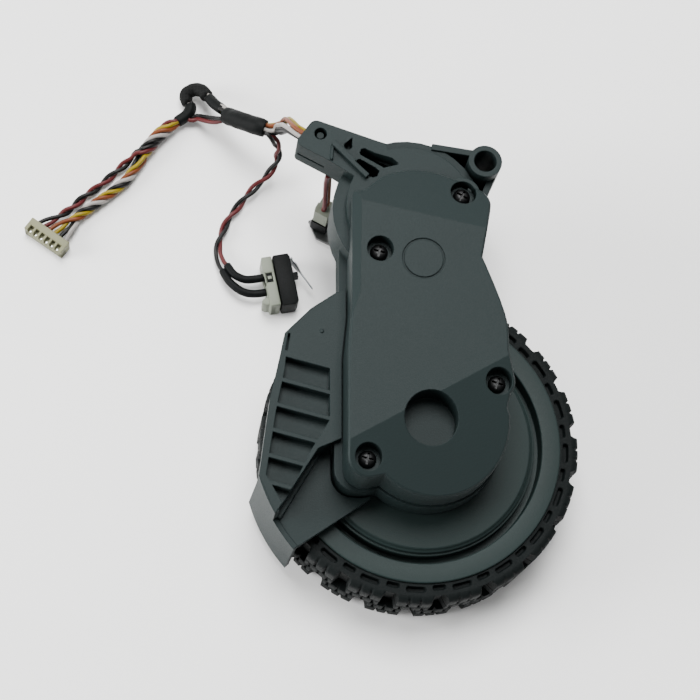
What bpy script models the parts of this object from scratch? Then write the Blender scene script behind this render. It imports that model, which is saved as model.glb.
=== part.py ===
"""Robot vacuum wheel module, lying on the outer face of its wheel.

Metres, +Z up. The wheel's axis is the Z axis and the floor is z = 0. From the floor up come the
wheel, the gear case and the faceted gearbox cover. The motor hangs beside the wheel from the drum
of the housing, and its pinion drives the wheel through three compound gears.
"""

import math

import bmesh
import bpy
from mathutils import Matrix, Vector

MM = 0.001

# Clearances
SEAT_GAP = 0.3 * MM
RUN_GAP = 0.08 * MM
STEP = 0.05 * MM

# Wheel
TYRE_RADIUS = 35.0 * MM
TYRE_WIDTH = 18.3 * MM
TYRE_SHOULDER = 1.3 * MM
LUG_COUNT = 20
LUG_DEPTH = 2.2 * MM
LUG_SHARE = 0.66
LUG_RAMP_SHARE = 0.08
LUG_PHASE = math.radians(-2.5)
ROW_STEP = 0.3 * MM
RIM_RADIUS = 30.7 * MM
RIM_TOP = 19.0 * MM
RIM_RING_WIDTH = 4.2 * MM
RIM_BARREL_WALL = 2.2 * MM
RIM_GROOVE_WIDTH = 1.5 * MM
RIM_GROOVE_DEPTH = 4.0 * MM
RIM_DISC_RISE = 1.34 * MM
RIM_DISC_EDGE = 1.3 * MM
RIM_PLATE = 2.4 * MM
RIM_RIB_COUNT = 6
RIM_RIB_THICKNESS = 1.4 * MM
HUB_RADIUS = 6.0 * MM
HUB_SCREW_SEAT = 6.2 * MM
WHEEL_COVER_THICKNESS = 1.8 * MM
WHEEL_COVER_LOBES = 5
WHEEL_COVER_LOBE_DEPTH = 0.8 * MM

# Output shaft and its bushes
SHAFT_RADIUS = 2.5 * MM
SHAFT_FOOT = 8.0 * MM
BUSH_WALL = 1.4 * MM
BUSH_FLANGE = 1.2 * MM
BUSH_FLANGE_THICKNESS = 0.7 * MM

# Gear case and cover
CASE_BOTTOM = 21.2 * MM
CASE_FLOOR = 1.6 * MM
CASE_TOP = 28.0 * MM
CASE_WALL = 1.4 * MM
CASE_GROWTH = 0.4 * MM
CASE_LEDGE = 1.3 * MM
COVER_TOP = 40.5 * MM
COVER_ROOF = 1.5 * MM
COVER_EDGE_CHAMFER = 0.4 * MM
LOWER_FACET_AT = (-7.4 * MM, 0.7 * MM)
LOWER_FACET_ALONG = math.radians(29.7)
LOWER_FACET_SLOPE = math.radians(13.5)
UPPER_FACET_AT = (-14.9 * MM, 47.2 * MM)
UPPER_FACET_ALONG = math.radians(168.6)
UPPER_FACET_SLOPE = math.radians(13.0)
SIDE_STRIP_CORNERS = (
    (-15.3 * MM, 51.0 * MM),
    (-20.0 * MM, 51.0 * MM),
    (-20.0 * MM, 19.5 * MM),
    (-18.1 * MM, 19.5 * MM),
    (-15.7 * MM, 26.5 * MM),
)
SIDE_STRIP_SLOPE = math.radians(28.0)
RECESS_CENTRE = (-0.9 * MM, 0.0)
RECESS_RADIUS = 5.75 * MM
RECESS_FLOOR = 34.0 * MM
RING_MARK_CENTRE = (-2.2 * MM, 34.5 * MM)
RING_MARK_RADIUS = 4.6 * MM
RING_MARK_WIDTH = 0.45 * MM
RING_MARK_DEPTH = 0.3 * MM

# Cover screws
SCREW_PLACES = (
    (-11.4 * MM, 36.4 * MM),
    (6.9 * MM, 50.6 * MM),
    (13.4 * MM, 8.3 * MM),
    (-13.9 * MM, -8.5 * MM),
)
COUNTERBORE_RADIUS = 2.8 * MM
COUNTERBORE_DEPTH = 3.1 * MM
COUNTERBORE_WALL = 1.1 * MM
SCREW_HEAD_RADIUS = 1.9 * MM
SCREW_HEAD_HEIGHT = 1.3 * MM
SCREW_SHANK_RADIUS = 0.9 * MM
SCREW_LENGTH = 4.4 * MM
SCREW_CROSS_WIDTH = 0.55 * MM
SCREW_POST_RADIUS = 2.6 * MM
SCREW_POST_TOP = 34.0 * MM

# Gear train, from the wheel back to the motor
OUTPUT_TEETH = 29
GEAR_3_SMALL_TEETH = 13
GEAR_3_LARGE_TEETH = 28
GEAR_2_SMALL_TEETH = 12
GEAR_2_LARGE_TEETH = 28
GEAR_1_SMALL_TEETH = 12
GEAR_1_LARGE_TEETH = 31
PINION_TEETH = 12
OUTPUT_MODULE = 0.8 * MM
MIDDLE_MODULE = 0.6 * MM
MOTOR_MODULE = 0.5 * MM
GEAR_BACKLASH = 0.14 * MM
OUTPUT_TO_GEAR_3 = math.radians(95)
GEAR_3_TO_GEAR_2 = math.radians(88)
GEAR_2_TO_GEAR_1 = math.radians(80)
GEAR_1_TO_MOTOR = math.radians(118)
LAYER_GAP = 0.3 * MM
OUTPUT_GEAR_FOOT = 24.0 * MM
OUTPUT_GEAR_WIDTH = 5.8 * MM
GEAR_3_LARGE_WIDTH = 1.9 * MM
GEAR_2_LARGE_WIDTH = 2.4 * MM
GEAR_1_LARGE_WIDTH = 2.1 * MM
AXLE_RADIUS = 1.0 * MM
AXLE_BOSS_WALL = 1.4 * MM
OUTPUT_HUB_RADIUS = 4.6 * MM

# Motor and its encoder
MOTOR_RADIUS = 12.2 * MM
MOTOR_TOP = 30.0 * MM
MOTOR_BOTTOM = 7.0 * MM
MOTOR_WALL = 0.8 * MM
MOTOR_NOSE_RADIUS = 3.1 * MM
MOTOR_NOSE_HEIGHT = 1.2 * MM
MOTOR_SHAFT_RADIUS = 1.0 * MM
MOTOR_BUSH_RADIUS = 2.2 * MM
MAGNET_THICKNESS = 1.0 * MM
MAGNET_SPAN = math.radians(130)
ARMATURE_RADIUS = 9.0 * MM
ARMATURE_SLOT = 2.2 * MM
COMMUTATOR_RADIUS = 2.6 * MM
COMMUTATOR_HEIGHT = 2.6 * MM
BRUSH_SIZE = (3.2 * MM, 1.6 * MM, 1.6 * MM)
END_CAP_THICKNESS = 1.6 * MM
END_CAP_PLUG = 2.2 * MM
ENCODER_MAGNET_RADIUS = 4.0 * MM
ENCODER_MAGNET_HEIGHT = 1.6 * MM
BOARD_RADIUS = 11.0 * MM
BOARD_THICKNESS = 1.0 * MM
BOARD_BOTTOM = 1.3 * MM
TERMINAL_OFFSET = 8.2 * MM
TERMINAL_SIZE = (2.2 * MM, 0.5 * MM)

# Drum, neck, arm and pivot tube of the housing
DRUM_RADIUS = 16.5 * MM
DRUM_BOTTOM = 20.5 * MM
DRUM_TOP = 33.0 * MM
MOTOR_SEAT_WALL = 1.5 * MM
MOTOR_SLEEVE_WALL = 1.6 * MM
NECK_RADIUS = 13.8 * MM
NECK_TOP = 36.0 * MM
ARM_BOTTOM = 28.0 * MM
ARM_TOP = 36.0 * MM
ARM_CORNERS = (
    (-29.4 * MM, 61.8 * MM),
    (-21.8 * MM, 57.9 * MM),
    (-14.0 * MM, 53.0 * MM),
    (-8.0 * MM, 57.0 * MM),
    (-9.5 * MM, 62.5 * MM),
    (-11.2 * MM, 63.0 * MM),
    (-25.4 * MM, 67.6 * MM),
)
ARM_HOLE_AT = (-23.8 * MM, 64.2 * MM)
ARM_HOLE_RADIUS = 1.4 * MM
ARM_HOLE_DEPTH = 4.5 * MM
TEARDROP_AT = (-17.8 * MM, 61.6 * MM)
TEARDROP_RADIUS = 0.9 * MM
TEARDROP_LENGTH = 2.2 * MM
TEARDROP_DEPTH = 3.0 * MM
SPRING_HOOK_FROM = (-21.1 * MM, 61.9 * MM)
SPRING_HOOK_TO = (-13.6 * MM, 54.4 * MM)
SPRING_HOOK_WIDTH = 1.3 * MM
SPRING_HOOK_HEIGHT = 1.2 * MM
ARM_SLOT_FLOOR = 32.6 * MM
CABLE_EXIT_AT = (-27.0 * MM, 65.4 * MM, 32.0 * MM)
CABLE_EXIT_RADIUS = 1.8 * MM
CABLE_EXIT_DEPTH = 3.0 * MM
PIVOT_AT = (12.3 * MM, 59.2 * MM)
PIVOT_RADIUS = 3.7 * MM
PIVOT_BORE = 2.5 * MM
PIVOT_BOTTOM = 15.0 * MM
PIVOT_TOP = 36.4 * MM
WEB_THICKNESS = 1.4 * MM
WEB_TOP = 33.5 * MM
WEB_PLATE_TOP = 24.0 * MM

# Wheel guard
GUARD_TOP = 29.8 * MM
GUARD_POCKET_DEPTH = 5.2 * MM
GUARD_FLOOR = 1.2 * MM
GUARD_BRIDGE = 1.5 * MM
GUARD_SIDE_WALL = 1.5 * MM
GUARD_RIB_WALL = 0.9 * MM
GUARD_RIB_PITCH = 5.7 * MM
GUARD_RIB_COUNT = 6
GUARD_RIB_ANGLE = math.radians(-14)
GUARD_RIB_START = (-31.0 * MM, 15.3 * MM)
GUARD_PLATE_TOP = 22.8 * MM
GUARD_PLATE_THICKNESS = 1.6 * MM
SKIRT_RADIUS = 37.3 * MM
SKIRT_FLARE = 0.8 * MM
SKIRT_WALL = 1.1 * MM
SKIRT_BOTTOM = 4.5 * MM
SKIRT_START = math.radians(196.5)
SKIRT_RIBBED_END = math.radians(210.1)
SKIRT_END = math.radians(221.7)

# Motor plug, beside the drum
PLUG_AT = (-20.6 * MM, 56.6 * MM)
PLUG_TURN = math.radians(62)
PLUG_SIZE = (4.0 * MM, 3.4 * MM)
HEADER_SIZE = (4.4 * MM, 3.8 * MM)
HEADER_HEIGHT = 4.0 * MM
PLUG_HEIGHT = 5.4 * MM
MOTOR_LEAD_RADIUS = 0.6 * MM
MOTOR_LEAD_SPACING = 1.5 * MM

# Harness, as routes of its centrelines in millimetres
PAIR_RADIUS = 0.95 * MM
QUAD_RADIUS = 1.35 * MM
BUNDLE_RADIUS = 2.0 * MM
MAIN_SLEEVE_RADIUS = 2.1 * MM
NARROW_SLEEVE_RADIUS = 1.25 * MM
FOLD_RADIUS = 1.6 * MM
SWITCH_SLEEVE_RADIUS = 0.8 * MM
TRUNK_ROUTE = (
    (-24.6, 64.2, 32.0),
    (-27.0, 65.4, 32.0),
    (-28.8, 66.9, 31.0),
    (-30.4, 69.9, 26.5),
    (-31.2, 72.6, 19.5),
    (-31.5, 74.2, 16.0),
    (-32.6, 75.1, 14.9),
    (-33.55, 75.5, 14.75),
)
MAIN_SLEEVE_ROUTE = ((-34.7, 74.65, 14.5), (-37.0, 75.6, 14.0), (-40.8, 78.2, 11.0), (-43.4, 80.4, 8.3))
NARROW_SLEEVE_ROUTE = ((-44.3, 82.0, 7.8), (-46.2, 84.1, 6.4), (-47.6, 86.2, 5.2))
FOLD_ROUTE = (
    (-47.8, 86.5, 5.0),
    (-49.1, 88.4, 4.0),
    (-51.0, 89.3, 3.0),
    (-52.8, 88.5, 2.3),
    (-52.9, 86.9, 2.0),
    (-52.2, 86.0, 2.0),
)
FOLD_LEAD_ROUTE = ((-52.0, 85.7, 2.0), (-51.9, 84.9, 2.0), (-52.3, 84.2, 2.0), (-52.9, 83.75, 2.0))
BYPASS_ROUTE = ((-44.7, 79.6, 7.8), (-46.6, 80.2, 6.0), (-48.8, 81.6, 3.6), (-50.2, 82.4, 2.3), (-51.65, 81.95, 2.0))
BUNDLE_ROUTE = (
    (-52.6, 82.7, 2.1),
    (-54.7, 81.4, 2.1),
    (-57.4, 79.1, 2.1),
    (-59.7, 76.7, 2.1),
    (-61.5, 74.3, 2.1),
    (-63.0, 72.2, 2.1),
)
PAIR_ROUTE = (
    (-64.4, 73.0, 2.0),
    (-66.8, 70.2, 1.4),
    (-69.5, 67.3, 1.1),
    (-72.6, 64.2, 1.1),
    (-75.7, 61.6, 1.1),
    (-78.7, 58.4, 1.2),
    (-81.3, 56.4, 1.6),
    (-84.2, 55.0, 1.9),
    (-85.2, 53.85, 1.9),
)
QUAD_ROUTE = (
    (-62.4, 71.3, 2.0),
    (-64.5, 68.6, 1.6),
    (-66.2, 65.8, 1.6),
    (-69.3, 62.9, 1.6),
    (-72.4, 60.3, 1.6),
    (-75.5, 57.6, 1.6),
    (-78.5, 54.7, 1.8),
    (-80.6, 52.6, 1.9),
    (-81.5, 51.3, 1.9),
)
SWITCH_LEAD_ROUTE = (
    (-34.4, 73.05, 14.65),
    (-33.4, 72.6, 14.6),
    (-32.1, 72.0, 12.8),
    (-31.4, 71.3, 9.4),
    (-31.6, 70.0, 6.0),
    (-33.7, 67.4, 3.6),
    (-36.6, 64.8, 2.2),
    (-39.8, 60.9, 1.4),
    (-42.5, 56.8, 1.1),
    (-44.1, 52.5, 1.1),
    (-44.7, 49.0, 1.1),
    (-44.1, 46.5, 1.5),
    (-43.3, 45.3, 2.0),
)
SWITCH_SLEEVE_1_ROUTE = ((-42.4, 45.4, 2.3), (-40.6, 43.4, 2.9), (-38.1, 42.6, 3.0), (-34.7, 43.1, 3.0))
SWITCH_SLEEVE_2_ROUTE = ((-43.4, 44.1, 2.2), (-41.5, 41.6, 2.9), (-38.6, 40.2, 3.0), (-34.0, 39.6, 3.0))
CONNECTOR_AT = (-83.8 * MM, 50.6 * MM)
CONNECTOR_TURN = math.radians(-34)
CONNECTOR_SIZE = (10.4 * MM, 3.2 * MM)
CONNECTOR_HEIGHT = 3.8 * MM
CONNECTOR_CIRCUITS = 6
CONNECTOR_PITCH = 1.5 * MM
CONNECTOR_WINDOW = (0.9 * MM, 1.5 * MM)
CONNECTOR_WINDOW_DEPTH = 2.4 * MM

# Wheel-drop switch, lying beside the module
SWITCH_AT = (-29.0 * MM, 41.1 * MM)
SWITCH_TURN = math.radians(-78)
SWITCH_LENGTH = 12.4 * MM
SWITCH_WIDTH = 4.0 * MM
SWITCH_HEIGHT = 6.0 * MM
SWITCH_FOOT = 0.2 * MM
HOLDER_WIDTH = 2.4 * MM
HOLDER_LENGTH = 12.0 * MM
HOLDER_LUG = (2.6 * MM, 1.5 * MM)
HOLDER_WINDOW = (6.4 * MM, 2.2 * MM)
SWITCH_TERMINAL_SIZE = (2.0 * MM, 0.5 * MM)
SWITCH_TERMINAL_SPACING = 3.6 * MM
LEVER_HINGE_INSET = 0.6 * MM
LEVER_OPENING = math.radians(24)
LEVER_LENGTH = 8.8 * MM
LEVER_THICKNESS = 0.3 * MM
LEVER_HEIGHT = 3.4 * MM
PLUNGER_AT = 4.2 * MM
PLUNGER_SIZE = (1.3 * MM, 2.0 * MM)
PLUNGER_TRAVEL = 0.8 * MM

# Facets in a full turn
FINE_STEPS = 36
ROUND_STEPS = 26
SMALL_STEPS = 12


def clear_scene():
    """Removes whatever the new file came with."""
    for thing in list(bpy.data.objects):
        bpy.data.objects.remove(thing)


def material(name, colour, roughness, metallic=0.0):
    """A plain finish: base colour, roughness and metallic value."""
    finish = bpy.data.materials.new(name)
    finish.use_nodes = True
    shader = finish.node_tree.nodes["Principled BSDF"]
    shader.inputs["Base Color"].default_value = (*colour, 1.0)
    shader.inputs["Roughness"].default_value = roughness
    shader.inputs["Metallic"].default_value = metallic
    return finish


def mesh_of(work):
    """The bmesh as a mesh, with its normals outwards."""
    bmesh.ops.recalc_face_normals(work, faces=work.faces)
    mesh = bpy.data.meshes.new("shape")
    work.to_mesh(mesh)
    work.free()
    return mesh


def piece(name, mesh, finish, parent=None, place=(0, 0, 0), turn=0.0):
    """One named object, smooth where it is round."""
    thing = bpy.data.objects.new(name, mesh)
    mesh.name = name
    mesh.materials.clear()
    mesh.materials.append(finish)
    mesh.shade_smooth()
    mesh.set_sharp_from_angle(angle=math.radians(35))
    thing.location = place
    thing.rotation_euler.z = turn
    thing.parent = parent
    bpy.context.collection.objects.link(thing)
    return thing


def axis_empty(name, place, turn=0.0):
    """An empty on a joint's axis, which carries what turns or slides with it."""
    empty = bpy.data.objects.new(name, None)
    empty.location = place
    empty.rotation_euler.z = turn
    bpy.context.collection.objects.link(empty)
    return empty


def combined(base, tools, operation):
    """The base mesh with each tool joined to it or cut from it."""
    holder = bpy.data.objects.new("base", base)
    helpers = [holder]
    for tool in tools:
        helper = bpy.data.objects.new("tool", tool)
        helpers.append(helper)
        modifier = holder.modifiers.new("combine", "BOOLEAN")
        modifier.operation = operation
        modifier.solver = "EXACT"
        modifier.object = helper
    for helper in helpers:
        bpy.context.collection.objects.link(helper)
    bpy.context.view_layer.update()
    graph = bpy.context.evaluated_depsgraph_get()
    result = bpy.data.meshes.new_from_object(holder.evaluated_get(graph), depsgraph=graph)
    for helper in helpers:
        bpy.data.objects.remove(helper)
    return result


def joined(base, *tools):
    return combined(base, tools, "UNION")


def cut(base, *tools):
    return combined(base, tools, "DIFFERENCE")


def moved(mesh, x=0.0, y=0.0, z=0.0):
    mesh.transform(Matrix.Translation((x, y, z)))
    return mesh


def turned_about(mesh, angle, axis="Z"):
    mesh.transform(Matrix.Rotation(angle, 4, axis))
    return mesh


def arc(centre, radius, start, end, steps):
    """Points on an arc, both ends included. Angles in degrees."""
    points = []
    for step in range(steps + 1):
        angle = math.radians(start + (end - start) * step / steps)
        points.append((centre[0] + radius * math.cos(angle), centre[1] + radius * math.sin(angle)))
    return points


def circle(centre, radius, steps):
    return arc(centre, radius, 0, 360, steps)[:-1]


def smooth_through(points, steps):
    """Points on a smooth curve through the given ones, in two or three dimensions."""
    ends = [points[0], *points, points[-1]]
    curve = []
    for index in range(1, len(ends) - 2):
        before, start, stop, after = ends[index - 1 : index + 3]
        for step in range(steps):
            t = step / steps
            curve.append(
                tuple(
                    0.5
                    * (
                        2 * b
                        + (c - a) * t
                        + (2 * a - 5 * b + 4 * c - d) * t**2
                        + (3 * b - a - 3 * c + d) * t**3
                    )
                    for a, b, c, d in zip(before, start, stop, after)
                )
            )
    curve.append(tuple(points[-1]))
    return curve


def distance_to(outline, point):
    """How far a point is from the nearest side of an outline."""
    here = Vector(point)
    nearest = math.inf
    for index, corner in enumerate(outline):
        start = Vector(outline[index - 1])
        run = Vector(corner) - start
        share = min(1.0, max(0.0, (here - start).dot(run) / run.length_squared))
        nearest = min(nearest, (start + run * share - here).length)
    return nearest


def grown(outline, distance):
    """A counter-clockwise outline moved outwards by a distance, or inwards if it is negative."""
    result = []
    count = len(outline)
    for index, point in enumerate(outline):
        here = Vector(point)
        before = (here - Vector(outline[index - 1])).normalized()
        after = (Vector(outline[(index + 1) % count]) - here).normalized()
        outward = Vector((before.y + after.y, -before.x - after.x)).normalized()
        reach = distance / max(0.5, outward.dot(Vector((before.y, -before.x))))
        corner = here + outward * reach
        if distance_to(outline, corner) > 0.97 * abs(distance):
            result.append(tuple(corner))
    return result


def clipped(outline, point, angle):
    """The part of an outline on the left of a line through a point, in the direction of an angle."""
    normal = Vector((-math.sin(angle), math.cos(angle)))
    kept = []
    for index, corner in enumerate(outline):
        here = Vector(corner)
        following = Vector(outline[(index + 1) % len(outline)])
        height_here = (here - Vector(point)).dot(normal)
        height_next = (following - Vector(point)).dot(normal)
        if height_here >= 0:
            kept.append(tuple(here))
        if (height_here >= 0) != (height_next >= 0):
            share = height_here / (height_here - height_next)
            kept.append(tuple(here.lerp(following, share)))
    return kept


def prism(outline, low, high):
    """An upright solid over a counter-clockwise outline."""
    work = bmesh.new()
    foot = [work.verts.new((x, y, low)) for x, y in outline]
    head = [work.verts.new((x, y, high)) for x, y in outline]
    work.faces.new(reversed(foot))
    work.faces.new(head)
    for index in range(len(outline)):
        follow = (index + 1) % len(outline)
        work.faces.new((foot[index], foot[follow], head[follow], head[index]))
    return mesh_of(work)


def cylinder(centre, radius, low, high, steps=SMALL_STEPS):
    return prism(circle(centre, radius, steps), low, high)


def block(centre, size, low, high, turn=0.0):
    """A box of a length and a width, turned about Z."""
    corners = []
    for sign_x, sign_y in ((-1, -1), (1, -1), (1, 1), (-1, 1)):
        x = sign_x * size[0] / 2
        y = sign_y * size[1] / 2
        corners.append(
            (
                centre[0] + x * math.cos(turn) - y * math.sin(turn),
                centre[1] + x * math.sin(turn) + y * math.cos(turn),
            )
        )
    return prism(corners, low, high)


def bar(start, end, width, low, high):
    """An upright wall along a line."""
    run = Vector(end) - Vector(start)
    middle = (Vector(start) + Vector(end)) / 2
    return block(middle, (run.length, width), low, high, math.atan2(run.y, run.x))


def spun(profile, steps, start=0.0, sweep=math.tau):
    """A solid turned about Z from a closed profile of (radius, height), over a whole turn or a part."""
    work = bmesh.new()
    corners = [work.verts.new((radius, 0, height)) for radius, height in profile]
    edges = [work.edges.new((corners[i - 1], corners[i])) for i in range(len(corners))]
    whole = abs(sweep - math.tau) < 1e-6
    geometry = corners + edges
    if not whole:
        geometry.append(work.faces.new(corners))
    bmesh.ops.spin(
        work,
        geom=geometry,
        cent=(0, 0, 0),
        axis=(0, 0, 1),
        angle=sweep,
        steps=steps,
        use_merge=whole,
    )
    bmesh.ops.remove_doubles(work, verts=work.verts, dist=1e-7)
    bmesh.ops.delete(work, geom=[edge for edge in work.edges if edge.is_wire], context="EDGES")
    bmesh.ops.rotate(work, verts=work.verts, cent=(0, 0, 0), matrix=Matrix.Rotation(start, 3, "Z"))
    return mesh_of(work)


def shaft(radius, low, high, chamfer, steps=SMALL_STEPS):
    """A solid round bar with chamfered ends."""
    profile = [
        (0, low),
        (radius - chamfer, low),
        (radius, low + chamfer),
        (radius, high - chamfer),
        (radius - chamfer, high),
        (0, high),
    ]
    return spun(profile, steps)


def tube(inner, outer, low, high, steps=SMALL_STEPS):
    return spun([(inner, low), (outer, low), (outer, high), (inner, high)], steps)


# Gear train

def pitch_radius(teeth, module):
    return teeth * module / 2


def centre_distance(teeth_a, teeth_b, module):
    return pitch_radius(teeth_a, module) + pitch_radius(teeth_b, module)


def along(start, angle, distance):
    return (start[0] + distance * math.cos(angle), start[1] + distance * math.sin(angle))


WHEEL_AXIS = (0.0, 0.0)
GEAR_3_AT = along(
    WHEEL_AXIS,
    OUTPUT_TO_GEAR_3,
    centre_distance(OUTPUT_TEETH, GEAR_3_SMALL_TEETH, OUTPUT_MODULE),
)
GEAR_2_AT = along(
    GEAR_3_AT,
    GEAR_3_TO_GEAR_2,
    centre_distance(GEAR_3_LARGE_TEETH, GEAR_2_SMALL_TEETH, MIDDLE_MODULE),
)
GEAR_1_AT = along(
    GEAR_2_AT,
    GEAR_2_TO_GEAR_1,
    centre_distance(GEAR_2_LARGE_TEETH, GEAR_1_SMALL_TEETH, MOTOR_MODULE),
)
MOTOR_AT = along(
    GEAR_1_AT,
    GEAR_1_TO_MOTOR,
    centre_distance(GEAR_1_LARGE_TEETH, PINION_TEETH, MOTOR_MODULE),
)

# Heights of the gear layers, from the case floor up
OUTPUT_GEAR_TOP = OUTPUT_GEAR_FOOT + OUTPUT_GEAR_WIDTH
GEAR_3_LARGE_FOOT = OUTPUT_GEAR_TOP + LAYER_GAP
GEAR_3_TOP = GEAR_3_LARGE_FOOT + GEAR_3_LARGE_WIDTH
GEAR_2_LARGE_FOOT = GEAR_3_TOP + LAYER_GAP
GEAR_2_TOP = GEAR_2_LARGE_FOOT + GEAR_2_LARGE_WIDTH
GEAR_1_LARGE_FOOT = GEAR_2_TOP + LAYER_GAP
GEAR_1_TOP = GEAR_1_LARGE_FOOT + GEAR_1_LARGE_WIDTH
CASE_INSIDE = CASE_BOTTOM + CASE_FLOOR
MOTOR_WALL_TOP = MOTOR_TOP + SEAT_GAP + MOTOR_SEAT_WALL
MOTOR_BORE = MOTOR_RADIUS + SEAT_GAP
ROOF_INSIDE = COVER_TOP - COVER_ROOF
PIN_HOLE_FLOOR = CASE_BOTTOM + 0.6 * MM


def gear_outline(teeth, module, phase):
    """Teeth with straight flanks, thinned by the backlash."""
    pitch = pitch_radius(teeth, module)
    tip = pitch + 0.9 * module
    root = pitch - 1.15 * module
    half = math.pi / (2 * teeth) - GEAR_BACKLASH / (2 * pitch)
    spread = math.tan(math.radians(20))
    half_tip = half - (tip - pitch) * spread / pitch
    half_root = half + (pitch - root) * spread / pitch * 0.8
    outline = []
    for tooth in range(teeth):
        middle = phase + math.tau * tooth / teeth
        for radius, offset in ((root, -half_root), (tip, -half_tip), (tip, half_tip), (root, half_root)):
            angle = middle + offset
            outline.append((radius * math.cos(angle), radius * math.sin(angle)))
    return outline


def meshing_phase(teeth, partner_teeth, partner_phase, direction):
    """The phase of a gear whose gap takes the partner's tooth. The direction is from the partner."""
    share = (direction - partner_phase) * partner_teeth / math.tau
    return direction + math.pi - math.tau / teeth * (0.5 - share)


def gear_mesh(teeth, module, phase, low, high):
    return prism(gear_outline(teeth, module, phase), low, high)


def compound_gear(small, large, bore, foot, hub_top):
    """One moulding: a long small gear, a wide large gear above it, and a short hub."""
    solid = joined(small, large)
    return cut(solid, cylinder((0, 0), bore, foot - MM, hub_top + MM))


def build_gears(finishes):
    """The output gear and the three compound gears, in mesh at rest."""
    gear_3_phase = meshing_phase(GEAR_3_SMALL_TEETH, OUTPUT_TEETH, 0.0, OUTPUT_TO_GEAR_3)
    gear_2_phase = meshing_phase(GEAR_2_SMALL_TEETH, GEAR_3_LARGE_TEETH, 0.0, GEAR_3_TO_GEAR_2)
    gear_1_phase = meshing_phase(GEAR_1_SMALL_TEETH, GEAR_2_LARGE_TEETH, 0.0, GEAR_2_TO_GEAR_1)
    bore = AXLE_RADIUS + RUN_GAP

    axis_3 = axis_empty("gear_3_axis", (*GEAR_3_AT, 0))
    foot_3 = CASE_INSIDE + 2 * SEAT_GAP
    gear_3 = compound_gear(
        gear_mesh(GEAR_3_SMALL_TEETH, OUTPUT_MODULE, gear_3_phase, foot_3, GEAR_3_LARGE_FOOT + 0.1 * MM),
        gear_mesh(GEAR_3_LARGE_TEETH, MIDDLE_MODULE, 0.0, GEAR_3_LARGE_FOOT, GEAR_3_TOP),
        bore,
        foot_3,
        GEAR_3_TOP,
    )
    piece("compound_gear_3", gear_3, finishes["gear"], axis_3)

    axis_2 = axis_empty("gear_2_axis", (*GEAR_2_AT, 0))
    foot_2 = GEAR_3_LARGE_FOOT
    gear_2 = compound_gear(
        gear_mesh(GEAR_2_SMALL_TEETH, MIDDLE_MODULE, gear_2_phase, foot_2, GEAR_2_LARGE_FOOT + 0.1 * MM),
        gear_mesh(GEAR_2_LARGE_TEETH, MOTOR_MODULE, 0.0, GEAR_2_LARGE_FOOT, GEAR_2_TOP),
        bore,
        foot_2,
        GEAR_2_TOP,
    )
    piece("compound_gear_2", gear_2, finishes["gear"], axis_2)

    axis_1 = axis_empty("gear_1_axis", (*GEAR_1_AT, 0))
    foot_1 = MOTOR_WALL_TOP + 2 * SEAT_GAP
    gear_1 = compound_gear(
        gear_mesh(GEAR_1_SMALL_TEETH, MOTOR_MODULE, gear_1_phase, foot_1, GEAR_1_LARGE_FOOT + 0.1 * MM),
        gear_mesh(GEAR_1_LARGE_TEETH, MOTOR_MODULE, 0.0, GEAR_1_LARGE_FOOT, GEAR_1_TOP),
        bore,
        foot_1,
        GEAR_1_TOP,
    )
    piece("compound_gear_1", gear_1, finishes["gear"], axis_1)


def build_axles(finishes):
    """Steel pins pressed into the housing's bosses. The compound gears turn on them."""
    feet = (PIN_HOLE_FLOOR + SEAT_GAP / 3, PIN_HOLE_FLOOR + SEAT_GAP / 3, MOTOR_TOP + 2 * SEAT_GAP)
    heads = (GEAR_1_TOP - 2 * MM, GEAR_2_TOP, ROOF_INSIDE - SEAT_GAP)
    names = ("gear_axle_3", "gear_axle_2", "gear_axle_1")
    for name, place, foot, head in zip(names, (GEAR_3_AT, GEAR_2_AT, GEAR_1_AT), feet, heads):
        piece(name, moved(shaft(AXLE_RADIUS, foot, head, 0.15 * MM, 16), *place), finishes["steel"])


# Gearbox cover

def cover_outline():
    """The eared outline of the cover: ear, round end, ear, waist, shoulder and top arc."""
    outline = []
    outline += arc(SCREW_PLACES[3], 4.3 * MM, 180, 285, 7)
    outline += arc(WHEEL_AXIS, 16.0 * MM, 229, 365, 16)
    outline.append((15.4 * MM, 2.9 * MM))
    outline += arc(SCREW_PLACES[2], 3.6 * MM, -45, 15, 4)
    waist = [(15.6, 14.5), (15.5, 20.4), (14.1, 25.8), (12.1, 31.2), (10.4, 35.4)]
    outline += smooth_through([(x * MM, y * MM) for x, y in waist], 2)
    outline += arc((8.6 * MM, 48.0 * MM), 4.2 * MM, -10, 55, 5)
    outline += arc((-2.5 * MM, 39.3 * MM), 16.5 * MM, 60, 120, 8)
    outline.append((-14.3 * MM, 50.2 * MM))
    outline += arc((-16.0 * MM, 48.4 * MM), 1.3 * MM, 75, 180, 4)
    outline.append((-17.3 * MM, 24.0 * MM))
    outline.append((-18.2 * MM, 15.0 * MM))
    return outline


def case_outline():
    """The cover's outline with a ledge added along the left side."""
    outline = []
    for x, y in grown(cover_outline(), CASE_GROWTH):
        on_ledge = x < -14.0 * MM
        outline.append((x - CASE_LEDGE if on_ledge else x, y))
    return outline


FACETS = (
    (LOWER_FACET_AT, LOWER_FACET_ALONG, LOWER_FACET_SLOPE),
    (UPPER_FACET_AT, UPPER_FACET_ALONG, UPPER_FACET_SLOPE),
)


def facet_normal(direction, slope):
    """The outward normal of a facet that falls away on the right of its edge."""
    return Vector(
        (math.sin(direction) * math.sin(slope), -math.cos(direction) * math.sin(slope), math.cos(slope))
    )


def surface_height(x, y):
    """How high the cover's outside is at a place."""
    height = COVER_TOP
    for (edge_x, edge_y), direction, slope in FACETS:
        right = (x - edge_x) * math.sin(direction) - (y - edge_y) * math.cos(direction)
        height = min(height, COVER_TOP - right * math.tan(slope))
    return height


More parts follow.
